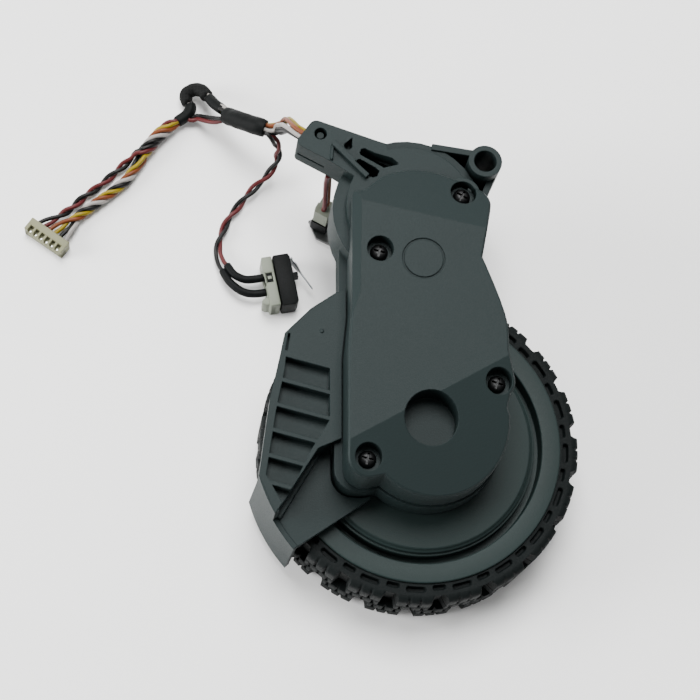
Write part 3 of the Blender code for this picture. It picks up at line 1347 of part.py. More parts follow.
def build_rotor(finishes):
    """Shaft, armature, commutator, pinion and encoder magnet, all on the motor's axis."""
    axis = axis_empty("rotor_axis", (*MOTOR_AT, 0))
    cap_foot = MOTOR_BOTTOM - END_CAP_THICKNESS - SEAT_GAP
    plug_top = MOTOR_BOTTOM - SEAT_GAP + END_CAP_PLUG
    spindle = shaft(MOTOR_SHAFT_RADIUS, BOARD_BOTTOM + 0.4 * MM, GEAR_1_TOP, 0.15 * MM, 16)
    piece("motor_shaft", spindle, finishes["steel"], axis)

    hole = MOTOR_SHAFT_RADIUS + SEAT_GAP / 3
    commutator_foot = plug_top + SEAT_GAP / 2
    commutator_top = commutator_foot + COMMUTATOR_HEIGHT
    ring = tube(hole, COMMUTATOR_RADIUS, commutator_foot, commutator_top, 24)
    piece("commutator", ring, finishes["copper"], axis)

    low = commutator_top + SEAT_GAP
    high = MOTOR_TOP - MOTOR_WALL - 2.4 * MM
    core = cylinder((0, 0), ARMATURE_RADIUS, low, high, 36)
    tools = [cylinder((0, 0), hole, low - MM, high + MM, 16)]
    for index in range(3):
        angle = math.tau * index / 3
        start = along((0, 0), angle, ARMATURE_RADIUS * 0.45)
        end = along((0, 0), angle, ARMATURE_RADIUS * 1.1)
        tools.append(bar(start, end, ARMATURE_SLOT, low - MM, high + MM))
    piece("armature", cut(core, *tools), finishes["laminations"], axis)

    phase = meshing_phase(PINION_TEETH, GEAR_1_LARGE_TEETH, 0.0, GEAR_1_TO_MOTOR)
    pinion = gear_mesh(PINION_TEETH, MOTOR_MODULE, phase, GEAR_1_LARGE_FOOT - 0.2 * MM, GEAR_1_TOP)
    pinion = cut(pinion, cylinder((0, 0), hole, 0, COVER_TOP, 16))
    piece("motor_pinion", pinion, finishes["brass"], axis)

    magnet_top = cap_foot - SEAT_GAP
    magnet = tube(hole, ENCODER_MAGNET_RADIUS, magnet_top - ENCODER_MAGNET_HEIGHT, magnet_top, 24)
    piece("encoder_magnet", magnet, finishes["ferrite"], axis)


# Motor plug, harness and switch

def build_motor_plug(finishes):
    """The header on the board, the plug in it, and its two leads up into the arm."""
    header_foot = BOARD_BOTTOM + BOARD_THICKNESS + SEAT_GAP
    plug_foot = header_foot + HEADER_HEIGHT + SEAT_GAP
    plug_top = plug_foot + PLUG_HEIGHT
    header = block(PLUG_AT, HEADER_SIZE, header_foot, header_foot + HEADER_HEIGHT, PLUG_TURN)
    piece("plug_header", header, finishes["black_nylon"])
    plug = block(PLUG_AT, PLUG_SIZE, plug_foot, plug_top, PLUG_TURN)
    key = block(PLUG_AT, (PLUG_SIZE[0] * 0.4, PLUG_SIZE[1] + 0.8 * MM), plug_foot + MM, plug_top - MM, PLUG_TURN)
    piece("motor_plug", joined(plug, key), finishes["white_nylon"])
    for name, side, finish in (("red", -0.5, "red_wire"), ("tan", 0.5, "tan_wire")):
        start = along(PLUG_AT, PLUG_TURN, side * MOTOR_LEAD_SPACING)
        end = (start[0] - 0.5 * MM, start[1] + 1.9 * MM)
        low = plug_top + SEAT_GAP
        high = ARM_BOTTOM - SEAT_GAP
        route = [(*start, low), (*start, low + 3 * MM), (*end, high - 4 * MM), (*end, high)]
        tube_along(f"motor_lead_{name}", route, MOTOR_LEAD_RADIUS, finishes[finish])


def tube_along(name, route, radius, finish):
    """A round cord on a smooth centreline through the route, with flat closed ends."""
    dense = smooth_through(route, 24)
    lengths = [0.0]
    for here, following in zip(dense, dense[1:]):
        lengths.append(lengths[-1] + math.dist(here, following))
    count = max(4, round(lengths[-1] / (3.2 * radius)))
    points = []
    index = 0
    for step in range(count + 1):
        target = lengths[-1] * step / count
        while index < len(lengths) - 2 and lengths[index + 1] < target:
            index += 1
        span = lengths[index + 1] - lengths[index]
        share = min(1.0, (target - lengths[index]) / span)
        points.append(Vector(dense[index]).lerp(Vector(dense[index + 1]), share))
    curve = bpy.data.curves.new(name, "CURVE")
    curve.dimensions = "3D"
    curve.bevel_depth = radius
    curve.bevel_resolution = 2
    curve.use_fill_caps = True
    spline = curve.splines.new("POLY")
    spline.points.add(len(points) - 1)
    for point, place in zip(spline.points, points):
        point.co = (*place, 1.0)
    curve.materials.append(finish)
    cord = bpy.data.objects.new(name, curve)
    bpy.context.collection.objects.link(cord)


def in_metres(route):
    return [tuple(value * MM for value in point) for point in route]


def build_harness(finishes):
    """Every cord, sleeve and taped fold from the arm and the switch to the connector."""
    cords = (
        ("lead_trunk", TRUNK_ROUTE, QUAD_RADIUS, "yellow_wire"),
        ("sleeve_main", MAIN_SLEEVE_ROUTE, MAIN_SLEEVE_RADIUS, "shrink"),
        ("sleeve_narrow", NARROW_SLEEVE_ROUTE, NARROW_SLEEVE_RADIUS, "shrink"),
        ("tape_fold", FOLD_ROUTE, FOLD_RADIUS, "tape"),
        ("lead_fold", FOLD_LEAD_ROUTE, QUAD_RADIUS * 0.8, "black_wire"),
        ("lead_bypass", BYPASS_ROUTE, PAIR_RADIUS * 0.8, "red_wire"),
        ("lead_bundle", BUNDLE_ROUTE, BUNDLE_RADIUS, "yellow_wire"),
        ("lead_pair", PAIR_ROUTE, PAIR_RADIUS, "red_wire"),
        ("lead_quad", QUAD_ROUTE, QUAD_RADIUS, "yellow_wire"),
        ("switch_lead", SWITCH_LEAD_ROUTE, PAIR_RADIUS, "red_wire"),
        ("switch_sleeve_1", SWITCH_SLEEVE_1_ROUTE, SWITCH_SLEEVE_RADIUS, "shrink"),
        ("switch_sleeve_2", SWITCH_SLEEVE_2_ROUTE, SWITCH_SLEEVE_RADIUS, "shrink"),
    )
    for name, route, radius, finish in cords:
        tube_along(name, in_metres(route), radius, finishes[finish])


def in_frame(centre, turn, x, y):
    """A place given in a turned frame, as a place on the floor."""
    return along(along(centre, turn, x), turn + math.pi / 2, y)


def build_connector(finishes):
    """The six-way connector, with a row of windows in its mating face."""
    body = block(CONNECTOR_AT, CONNECTOR_SIZE, 0.0, CONNECTOR_HEIGHT, CONNECTOR_TURN)
    tools = []
    middle = CONNECTOR_HEIGHT / 2
    for index in range(CONNECTOR_CIRCUITS):
        x = (index - (CONNECTOR_CIRCUITS - 1) / 2) * CONNECTOR_PITCH
        place = in_frame(CONNECTOR_AT, CONNECTOR_TURN, x, -CONNECTOR_SIZE[1] / 2)
        size = (CONNECTOR_WINDOW[0], 2 * CONNECTOR_WINDOW_DEPTH)
        low = middle - CONNECTOR_WINDOW[1] / 2
        tools.append(block(place, size, low, low + CONNECTOR_WINDOW[1], CONNECTOR_TURN))
    piece("connector", cut(body, *tools), finishes["cream_nylon"])


def switch_place(x, y):
    """A place in the switch's frame: x along its body, y out of its lever side."""
    return in_frame(SWITCH_AT, SWITCH_TURN, x, y)


def build_switch(finishes):
    """Body, holder, terminals, lever and plunger of the wheel-drop switch."""
    top = SWITCH_FOOT + SWITCH_HEIGHT
    half = SWITCH_WIDTH / 2
    plunger_x = LEVER_HINGE_INSET + PLUNGER_AT - SWITCH_LENGTH / 2
    body = block(SWITCH_AT, (SWITCH_LENGTH, SWITCH_WIDTH), SWITCH_FOOT, top, SWITCH_TURN)
    middle = SWITCH_FOOT + SWITCH_HEIGHT / 2
    depth = PLUNGER_TRAVEL + 2.0 * MM
    well = block(
        switch_place(plunger_x, half),
        (PLUNGER_SIZE[0] + 0.2 * MM, 2 * depth),
        middle - PLUNGER_SIZE[1] / 2 - 0.1 * MM,
        middle + PLUNGER_SIZE[1] / 2 + 0.1 * MM,
        SWITCH_TURN,
    )
    piece("switch_body", cut(body, well), finishes["black_nylon"])

    holder_y = -half - SEAT_GAP - HOLDER_WIDTH / 2
    holder = block(switch_place(0, holder_y), (HOLDER_LENGTH, HOLDER_WIDTH), 0.0, top + 0.5 * MM, SWITCH_TURN)
    lug_at = switch_place((HOLDER_LENGTH - HOLDER_LUG[0]) / 2, holder_y - HOLDER_WIDTH / 2 - HOLDER_LUG[1] / 2)
    lug = block(lug_at, (HOLDER_LUG[0], HOLDER_LUG[1] + 0.4 * MM), 0.1 * MM, top - 1.5 * MM, SWITCH_TURN)
    terminal_x = SWITCH_TERMINAL_SPACING / 2
    window = block(
        switch_place(-0.4 * MM, holder_y),
        (HOLDER_WINDOW[0], 2 * HOLDER_WIDTH),
        middle - HOLDER_WINDOW[1] / 2,
        middle + HOLDER_WINDOW[1] / 2,
        SWITCH_TURN,
    )
    piece("switch_holder", cut(joined(holder, lug), window), finishes["white_nylon"])

    for index, side in enumerate((-1, 1), 1):
        place = switch_place(side * terminal_x - 0.4 * MM, -half - SEAT_GAP - 0.5 * MM - HOLDER_WIDTH / 2 + 0.2 * MM)
        size = (SWITCH_TERMINAL_SIZE[1], HOLDER_WIDTH + 0.6 * MM)
        low = middle - SWITCH_TERMINAL_SIZE[0] / 2
        tab = block(place, size, low, low + SWITCH_TERMINAL_SIZE[0], SWITCH_TURN)
        piece(f"switch_terminal_{index}", tab, finishes["brass"])

    hinge = switch_place(LEVER_HINGE_INSET - SWITCH_LENGTH / 2, half + SEAT_GAP + LEVER_THICKNESS / 2)
    lever_axis = axis_empty("lever_axis", (*hinge, 0), SWITCH_TURN)
    strip = bar((0, 0), along((0, 0), LEVER_OPENING, LEVER_LENGTH), LEVER_THICKNESS, middle - LEVER_HEIGHT / 2, middle + LEVER_HEIGHT / 2)
    piece("switch_lever", strip, finishes["steel"], lever_axis)

    reach = PLUNGER_AT * math.tan(LEVER_OPENING) - SEAT_GAP - PLUNGER_SIZE[0] / 2 * math.tan(LEVER_OPENING)
    plunger_axis = axis_empty("plunger_axis", (*switch_place(plunger_x, half), 0), SWITCH_TURN)
    low = middle - PLUNGER_SIZE[1] / 2
    shape = block((0, (reach - 1.6 * MM) / 2), (PLUNGER_SIZE[0], reach + 1.6 * MM), low, low + PLUNGER_SIZE[1])
    piece("switch_plunger", shape, finishes["white_nylon"], plunger_axis)


def finishes_list():
    """One finish for each material of the module."""
    return {
        "housing": material("moulded_grey_abs", (0.062, 0.078, 0.080), 0.55),
        "rim": material("moulded_dark_abs", (0.045, 0.056, 0.055), 0.5),
        "tyre": material("black_rubber", (0.012, 0.014, 0.015), 0.85),
        "gear": material("white_acetal", (0.72, 0.72, 0.68), 0.4),
        "steel": material("ground_steel", (0.6, 0.6, 0.62), 0.3, 1.0),
        "black_steel": material("black_oxide_steel", (0.03, 0.03, 0.032), 0.35, 1.0),
        "bronze": material("sintered_bronze", (0.45, 0.27, 0.13), 0.5, 1.0),
        "brass": material("stamped_brass", (0.72, 0.52, 0.22), 0.35, 1.0),
        "copper": material("turned_copper", (0.7, 0.32, 0.18), 0.35, 1.0),
        "zinc": material("zinc_plated_steel", (0.5, 0.5, 0.5), 0.35, 1.0),
        "ferrite": material("sintered_ferrite", (0.04, 0.04, 0.045), 0.6),
        "carbon": material("pressed_carbon", (0.02, 0.02, 0.02), 0.7),
        "laminations": material("varnished_laminations", (0.25, 0.2, 0.15), 0.5, 0.6),
        "board": material("green_fibreglass_board", (0.02, 0.12, 0.05), 0.4),
        "black_nylon": material("black_nylon", (0.015, 0.015, 0.016), 0.5),
        "cream_nylon": material("cream_nylon", (0.62, 0.64, 0.5), 0.45),
        "white_nylon": material("white_nylon", (0.75, 0.76, 0.72), 0.45),
        "shrink": material("black_heat_shrink", (0.012, 0.012, 0.013), 0.5),
        "tape": material("black_cloth_tape", (0.014, 0.014, 0.015), 0.75),
        "red_wire": material("red_wire_insulation", (0.42, 0.03, 0.02), 0.45),
        "tan_wire": material("tan_wire_insulation", (0.5, 0.26, 0.13), 0.45),
        "black_wire": material("black_wire_insulation", (0.015, 0.015, 0.015), 0.45),
        "yellow_wire": material("yellow_wire_insulation", (0.75, 0.48, 0.04), 0.45),
    }


def main():
    clear_scene()
    finishes = finishes_list()
    build_housing(finishes)
    build_cover(finishes)
    build_cover_screws(finishes)
    build_guard(finishes)
    wheel_axis = axis_empty("wheel_axis", (0, 0, 0))
    build_wheel(finishes, wheel_axis)
    build_bushes(finishes)
    build_gears(finishes)
    build_axles(finishes)
    build_motor(finishes)
    build_rotor(finishes)
    build_motor_plug(finishes)
    build_harness(finishes)
    build_connector(finishes)
    build_switch(finishes)


main()
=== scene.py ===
"""Robot vacuum wheel module, dressed with its real surfaces, wires and tread.

Laid out as an add-on: settings, one operator for each piece or group of like pieces, a panel in
the sidebar, and a main function that makes the whole object in order.
"""

import math
import random

import bmesh
import bpy
from bpy.props import FloatProperty, FloatVectorProperty, IntProperty, PointerProperty
from mathutils import Matrix, Vector, noise


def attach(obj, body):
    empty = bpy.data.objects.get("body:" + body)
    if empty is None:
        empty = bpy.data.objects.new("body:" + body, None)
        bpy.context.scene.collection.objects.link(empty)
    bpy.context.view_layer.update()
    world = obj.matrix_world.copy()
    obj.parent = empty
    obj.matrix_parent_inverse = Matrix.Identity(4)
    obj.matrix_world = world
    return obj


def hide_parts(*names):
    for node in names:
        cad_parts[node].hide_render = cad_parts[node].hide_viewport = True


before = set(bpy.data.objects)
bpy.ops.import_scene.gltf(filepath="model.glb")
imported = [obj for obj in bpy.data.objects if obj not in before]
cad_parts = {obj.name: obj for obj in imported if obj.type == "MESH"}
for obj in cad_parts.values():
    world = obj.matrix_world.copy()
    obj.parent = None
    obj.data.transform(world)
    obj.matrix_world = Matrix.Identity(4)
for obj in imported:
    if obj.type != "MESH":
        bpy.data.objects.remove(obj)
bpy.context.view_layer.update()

bl_info = {
    "name": "Robot vacuum wheel module",
    "version": (1, 0, 0),
    "blender": (4, 5, 0),
    "location": "View3D > Sidebar > Wheel module",
    "description": "Makes a lugged drive wheel with its gearbox, drop switch and wire harness",
    "category": "Add Mesh",
}

# Routes, outlines, sections and what add_plate, add_block and revolve are given are in
# millimetres. Every other length is in metres, and MM turns millimetres into metres.
MM = 0.001

# The camera at the photograph's viewing angle
CAMERA_EYE = (-0.05451, -0.09518, 0.38315)
CAMERA_TARGET = (-0.01559, 0.02049, 0.0190)
LAMP_TARGET = (-0.02, 0.02, 0.01)

# The harness: its routes follow the part's own
TRUNK_ROUTE = (
    (-26.2, 65.0, 32.0),
    (-27.2, 65.5, 32.0),
    (-28.8, 66.9, 31.0),
    (-30.4, 69.9, 26.5),
    (-31.2, 72.6, 19.5),
    (-31.5, 74.2, 16.0),
    (-32.5, 74.4, 15.0),
    (-33.6, 74.4, 14.7),
)
MAIN_SLEEVE_ROUTE = (
    (-34.7, 74.65, 14.5),
    (-37.0, 75.6, 14.0),
    (-40.8, 78.2, 11.0),
    (-43.4, 80.4, 8.3),
)
NARROW_SLEEVE_ROUTE = (
    (-44.3, 82.0, 7.8),
    (-46.2, 84.1, 6.4),
    (-47.6, 86.2, 5.2),
)
FOLD_ROUTE = (
    (-47.8, 86.5, 5.0),
    (-49.1, 88.4, 4.0),
    (-51.0, 89.3, 3.0),
    (-52.8, 88.5, 2.3),
    (-52.9, 86.9, 2.0),
    (-52.2, 86.0, 2.0),
)
FOLD_LEAD_ROUTE = (
    (-52.0, 85.7, 2.0),
    (-51.9, 84.9, 2.0),
    (-52.1, 84.1, 2.0),
    (-52.5, 83.3, 2.0),
)
FOLD_TAIL_ROUTE = (*FOLD_LEAD_ROUTE, (-53.2, 82.5, 2.1), (-54.9, 81.1, 2.1))
BYPASS_ROUTE = (
    (-44.7, 79.6, 7.8),
    (-46.6, 80.2, 6.0),
    (-48.8, 81.6, 3.6),
    (-50.2, 82.4, 2.3),
    (-51.65, 81.95, 2.0),
)
BUNDLE_ROUTE = (
    (-53.2, 82.5, 2.1),
    (-54.9, 81.1, 2.1),
    (-57.4, 79.1, 2.1),
    (-59.7, 76.7, 2.1),
    (-61.5, 74.3, 2.1),
    (-63.0, 72.2, 2.1),
)
PAIR_ROUTE = (
    (-64.4, 71.9, 2.0),
    (-66.8, 70.0, 1.4),
    (-69.5, 67.3, 1.1),
    (-72.6, 64.2, 1.1),
    (-75.7, 61.6, 1.1),
    (-78.7, 58.4, 1.2),
    (-81.3, 56.4, 1.6),
    (-84.2, 55.0, 1.9),
    (-85.2, 53.85, 1.9),
)
QUAD_ROUTE = (
    (-63.4, 70.8, 2.0),
    (-64.6, 68.6, 1.6),
    (-66.5, 65.7, 1.6),
    (-69.3, 62.9, 1.6),
    (-72.4, 60.3, 1.6),
    (-75.5, 57.6, 1.6),
    (-78.5, 54.7, 1.8),
    (-80.6, 52.6, 1.9),
    (-81.5, 51.3, 1.9),
)
SWITCH_LEAD_ROUTE = (
    (-36.4, 74.9, 14.2),
    (-34.6, 73.6, 14.6),
    (-33.4, 72.7, 14.6),
    (-32.1, 72.0, 12.8),
    (-31.4, 71.3, 9.4),
    (-31.6, 70.0, 6.0),
    (-33.7, 67.4, 3.6),
    (-36.6, 64.8, 2.2),
    (-39.8, 60.9, 1.4),
    (-42.5, 56.8, 1.1),
    (-44.1, 52.5, 1.1),
    (-44.7, 49.0, 1.1),
    (-44.1, 46.5, 1.5),
    (-43.3, 45.3, 2.0),
)
SWITCH_SLEEVE_ROUTES = (
    (
        (-42.4, 45.4, 2.3),
        (-40.8, 43.0, 2.9),
        (-38.4, 41.8, 3.1),
        (-36.0, 41.9, 3.2),
        (-32.8, 42.6, 3.3),
    ),
    (
        (-43.4, 44.1, 2.2),
        (-41.8, 41.2, 2.8),
        (-39.0, 38.9, 3.1),
        (-36.0, 38.3, 3.2),
        (-32.1, 39.0, 3.3),
    ),
)
# Each shrunk sleeve: its name, route, radius, how crinkled it is, and the solids it stands for
SLEEVES = (
    ("main_sleeve", MAIN_SLEEVE_ROUTE, 2.1, 0.07, ("sleeve_main",)),
    ("narrow_sleeve", NARROW_SLEEVE_ROUTE, 1.3, 0.05, ("sleeve_narrow",)),
    ("end_sleeve_1", SWITCH_SLEEVE_ROUTES[0], 0.93, 0.05, ("switch_sleeve_1",)),
    ("end_sleeve_2", SWITCH_SLEEVE_ROUTES[1], 0.93, 0.05, ("switch_sleeve_2",)),
    ("fold_tail", FOLD_TAIL_ROUTE, 1.4, 0.06, ()),
)

# The connector's frame and the switch's frame, as in the part
CONNECTOR_AT = (-83.8 * MM, 50.6 * MM)
CONNECTOR_TURN = math.radians(-34)
CONNECTOR_PITCH = 1.5 * MM
CONNECTOR_MIDDLE = 1.9 * MM
WIRE_ENTRY = 0.7 * MM
CIRCUITS = 6
SWITCH_AT = (-29.0 * MM, 41.1 * MM)
SWITCH_TURN = math.radians(-78)

# The wheel
TYRE_RADIUS = 35.0 * MM
TYRE_WIDTH = 18.3 * MM
TYRE_SEAT = 30.78 * MM
LUG_PHASE = math.radians(-2.5)
SEGMENT_CELLS = 54


def linear(text):
    """Turns an sRGB hex colour into linear red, green and blue."""
    values = [int(text[index : index + 2], 16) / 255 for index in (1, 3, 5)]
    return tuple(v / 12.92 if v <= 0.04045 else ((v + 0.055) / 1.055) ** 2.4 for v in values)


class ModuleSizes(bpy.types.PropertyGroup):
    """Sizes of the dressed pieces."""

    edge_radius: FloatProperty(
        name="Edge radius",
        description="Rounding of the moulded edges",
        default=0.25 * MM,
        unit="LENGTH",
    )
    wire_diameter: FloatProperty(
        name="Wire diameter",
        description="Diameter of one insulated wire",
        default=1.0 * MM,
        unit="LENGTH",
    )
    twist_pitch: FloatProperty(
        name="Twist pitch",
        description="Length of one full turn of the twisted wires",
        default=10.0 * MM,
        unit="LENGTH",
    )
    lug_count: IntProperty(
        name="Lugs",
        description="Number of lugs round the tyre",
        default=20,
        min=8,
        max=40,
    )
    lug_depth: FloatProperty(
        name="Lug depth",
        description="Height of a lug above the tyre's carcass",
        default=2.2 * MM,
        unit="LENGTH",
    )


class ModuleColours(bpy.types.PropertyGroup):
    """Colours of the moulded pieces."""

    housing: FloatVectorProperty(
        name="Housing",
        description="Colour of the housing, cover and guard",
        subtype="COLOR",
        default=linear("#151F1F"),
        min=0,
        max=1,
    )
    rim: FloatVectorProperty(
        name="Rim",
        description="Colour of the wheel's rim",
        subtype="COLOR",
        default=linear("#1B2625"),
        min=0,
        max=1,
    )
    tyre: FloatVectorProperty(
        name="Tyre",
        description="Colour of the tyre's rubber",
        subtype="COLOR",
        default=linear("#050A0A"),
        min=0,
        max=1,
    )


class StageSettings(bpy.types.PropertyGroup):
    """The camera and the lamps."""

    lens: FloatProperty(name="Lens", description="Focal length", default=90.0, unit="CAMERA")
    top_power: FloatProperty(
        name="Top light",
        description="Power of the overhead lamp",
        default=18.0,
        unit="POWER",
    )
    side_power: FloatProperty(
        name="Side light",
        description="Power of the lamp at the left",
        default=13.0,
        unit="POWER",
    )
    back_power: FloatProperty(
        name="Back light",
        description="Power of the lamp behind",
        default=4.0,
        unit="POWER",
    )
    ambient: FloatProperty(name="Ambient", description="Strength of the light from all round", default=0.38)


def sizes():
    """The sizes that a user may change."""
    return bpy.context.scene.module_sizes


def colours():
    """The colours that a user may change."""
    return bpy.context.scene.module_colours


# Materials


def add_node(tree, kind, settings=None, **links):
    """Adds a node, sets its properties or input values, and links sockets to its inputs."""
    node = tree.nodes.new(kind)
    for name, value in (settings or {}).items():
        if isinstance(name, int) or name in node.inputs:
            node.inputs[name].default_value = value
        else:
            setattr(node, name, value)
    for name, socket in links.items():
        tree.links.new(socket, node.inputs[name.replace("_", " ")])
    return node


def per_mm(size):
    """The scale of a pattern in object coordinates whose features are that many millimetres apart."""
    return 1000.0 / size


def blank_material(name, colour, roughness, metallic=0.0, shine=0.5):
    """A material with only its Principled shader, and the object coordinates to pattern it by."""
    made = bpy.data.materials.new(name)
    made.use_nodes = True
    tree = made.node_tree
    shader = tree.nodes["Principled BSDF"]
    shader.inputs["Base Color"].default_value = (*colour, 1)
    shader.inputs["Roughness"].default_value = roughness
    shader.inputs["Metallic"].default_value = metallic
    shader.inputs["Specular IOR Level"].default_value = shine
    place = add_node(tree, "ShaderNodeTexCoord").outputs["Object"]
    return made, tree, shader, place


def vary_colour(tree, shader, factor, dark, light):
    """Blends the base colour between two colours by a factor."""
    mix = add_node(tree, "ShaderNodeMix", {"data_type": "RGBA"})
    tree.links.new(factor, mix.inputs[0])
    mix.inputs[6].default_value = (*dark, 1)
    mix.inputs[7].default_value = (*light, 1)
    tree.links.new(mix.outputs[2], shader.inputs["Base Color"])


def vary_roughness(tree, shader, factor, low, high):
    """Maps a factor from 0 to 1 onto a range of roughness."""
    span = add_node(tree, "ShaderNodeMapRange", {"To Min": low, "To Max": high}, Value=factor)
    tree.links.new(span.outputs["Result"], shader.inputs["Roughness"])


def raise_surface(tree, shader, height, distance, edge=0.0):
    """Bumps the surface by a height from 0 to 1 over a distance, and softens its edges."""
    bump = add_node(tree, "ShaderNodeBump", {"Distance": distance}, Height=height)
    if edge:
        rounded = add_node(tree, "ShaderNodeBevel", {"samples": 6, "Radius": edge})
        tree.links.new(rounded.outputs["Normal"], bump.inputs["Normal"])
    tree.links.new(bump.outputs["Normal"], shader.inputs["Normal"])


def shade(colour, gain):
    """The colour made lighter or darker."""
    return tuple(min(1.0, channel * gain) for channel in colour)


def moulded_plastic(name, colour, roughness, grain, depth, mottle, shine=0.13, edge=0.2 * MM):
    """Injection-moulded plastic from a spark-eroded tool: an even, fine, dull grain."""
    made, tree, shader, place = blank_material(name, colour, roughness, 0.0, shine)
    shader.inputs["IOR"].default_value = 1.52
    cloud = add_node(tree, "ShaderNodeTexNoise", {"Scale": per_mm(14), "Detail": 3.0}, Vector=place)
    vary_colour(tree, shader, cloud.outputs["Fac"], shade(colour, 1 - mottle), shade(colour, 1 + mottle))
    settings = {"Scale": per_mm(grain), "Detail": 2.0, "Roughness": 0.6}
    pits = add_node(tree, "ShaderNodeTexNoise", settings, Vector=place)
    vary_roughness(tree, shader, pits.outputs["Fac"], roughness - 0.08, roughness + 0.1)
    raise_surface(tree, shader, pits.outputs["Fac"], depth, edge)
    return made


def moulded_rubber(name, colour):
    """Compression-moulded rubber: almost black, with a dull bloom and a fine dusty grain."""
    made, tree, shader, place = blank_material(name, colour, 0.7, 0.0, 0.14)
    shader.inputs["IOR"].default_value = 1.5
    settings = {"Scale": per_mm(6), "Detail": 5.0, "Roughness": 0.65}
    dust = add_node(tree, "ShaderNodeTexNoise", settings, Vector=place)
    vary_colour(tree, shader, dust.outputs["Fac"], shade(colour, 0.8), shade(colour, 1.35))
    # The grain of the mould is about 0.1 mm. It is drawn coarser, so that it shows.
    grain = add_node(tree, "ShaderNodeTexNoise", {"Scale": per_mm(0.35), "Detail": 2.0}, Vector=place)
    vary_roughness(tree, shader, grain.outputs["Fac"], 0.55, 0.85)
    raise_surface(tree, shader, grain.outputs["Fac"], 0.05 * MM)
    return made


def wire_insulation(name, colour):
    """Extruded vinyl insulation: smooth and softly glossy, with faint handling marks."""
    made, tree, shader, place = blank_material(name, colour, 0.42, 0.0, 0.22)
    shader.inputs["IOR"].default_value = 1.53
    marks = add_node(tree, "ShaderNodeTexNoise", {"Scale": per_mm(2.2), "Detail": 3.0}, Vector=place)
    vary_colour(tree, shader, marks.outputs["Fac"], shade(colour, 0.85), shade(colour, 1.12))
    vary_roughness(tree, shader, marks.outputs["Fac"], 0.34, 0.56)
    raise_surface(tree, shader, marks.outputs["Fac"], 0.03 * MM)
    return made


def shrunk_sleeve(name, colour):
    """Heat-shrunk polyolefin: satin black, drawn tight in faint lengthwise wrinkles."""
    made, tree, shader, place = blank_material(name, colour, 0.6, 0.0, 0.1)
    settings = {"Scale": per_mm(1.6), "Detail": 4.0, "Distortion": 0.6}
    wrinkle = add_node(tree, "ShaderNodeTexNoise", settings, Vector=place)
    vary_colour(tree, shader, wrinkle.outputs["Fac"], shade(colour, 0.8), shade(colour, 1.3))
    vary_roughness(tree, shader, wrinkle.outputs["Fac"], 0.5, 0.7)
    raise_surface(tree, shader, wrinkle.outputs["Fac"], 0.12 * MM)
    return made


def woven_tape(name, colour):
    """Acetate cloth tape: black, matt, with a fine square weave."""
    made, tree, shader, place = blank_material(name, colour, 0.8, 0.0, 0.15)
    weave = add_node(tree, "ShaderNodeMath", {"operation": "MULTIPLY"})
    # The threads come out 0.75 mm apart, about twice as coarse as real ones, so that they show
    for index, direction in enumerate("XY"):
        settings = {"Scale": per_mm(2.4), "bands_direction": direction}
        threads = add_node(tree, "ShaderNodeTexWave", settings, Vector=place)
        tree.links.new(threads.outputs["Fac"], weave.inputs[index])
    vary_colour(tree, shader, weave.outputs["Value"], shade(colour, 0.8), shade(colour, 1.4))
    vary_roughness(tree, shader, weave.outputs["Value"], 0.7, 0.9)
    raise_surface(tree, shader, weave.outputs["Value"], 0.05 * MM)
    return made


def worked_metal(name, colour, roughness, scratch, metallic):
    """Metal marked by how it was worked: fine lines or crystals that vary its shine."""
    made, tree, shader, place = blank_material(name, colour, roughness, metallic)
    stretch = add_node(tree, "ShaderNodeMapping", {"Scale": (1.0, 1.0, 0.15)}, Vector=place)
    settings = {"Scale": per_mm(scratch), "Detail": 4.0}
    lines = add_node(tree, "ShaderNodeTexNoise", settings, Vector=stretch.outputs["Vector"])
    vary_colour(tree, shader, lines.outputs["Fac"], shade(colour, 0.85), shade(colour, 1.1))
    vary_roughness(tree, shader, lines.outputs["Fac"], max(0.08, roughness - 0.1), roughness + 0.14)
    raise_surface(tree, shader, lines.outputs["Fac"], 0.02 * MM)
    return made


def granular(name, colour, roughness, grain, metallic):
    """A sintered or pressed powder: open pores give it a dull, speckled face."""
    made, tree, shader, place = blank_material(name, colour, roughness, metallic)
    pores = add_node(tree, "ShaderNodeTexVoronoi", {"Scale": per_mm(grain)}, Vector=place)
    vary_colour(tree, shader, pores.outputs["Distance"], shade(colour, 0.7), shade(colour, 1.25))
    vary_roughness(tree, shader, pores.outputs["Distance"], roughness - 0.1, roughness + 0.1)
    raise_surface(tree, shader, pores.outputs["Distance"], 0.04 * MM)
    return made


def layered_board(name, colour):
    """Fibreglass board under solder mask: black and satin, with the weave just showing."""
    made, tree, shader, place = blank_material(name, colour, 0.35)
    weave = add_node(tree, "ShaderNodeTexChecker", {"Scale": per_mm(0.8)}, Vector=place)
    vary_colour(tree, shader, weave.outputs["Fac"], shade(colour, 0.9), shade(colour, 1.1))
    vary_roughness(tree, shader, weave.outputs["Fac"], 0.3, 0.42)
    return made


# A spark-eroded tool leaves a grain of about 0.15 mm. It is drawn coarser, so that it shows.
ABS_GRAIN = 0.35
ABS_MOTTLE = 0.06
# Plastics: the material's name, colour, roughness, grain, depth of the grain, mottle and shine
PLASTICS = {
    # Black nylon filled with glass: dull, because the fibres roughen its skin
    "nylon_black": ("glass_filled_nylon_black", "#070909", 0.55, 0.3, 0.03 * MM, 0.06, 0.08),
    # Unfilled nylon in its own off-white: satin and a little waxy
    "nylon_white": ("moulded_nylon_white", "#6C7165", 0.42, 0.5, 0.02 * MM, 0.03),
    # The same nylon in the yellower tint of a connector
    "nylon_cream": ("moulded_nylon_cream", "#74745A", 0.42, 0.5, 0.02 * MM, 0.03),
    # Acetal: a clean white with hardly any grain, as on small gears
    "acetal": ("moulded_acetal_white", "#E4E4DC", 0.35, 0.5, 0.01 * MM, 0.02),
}
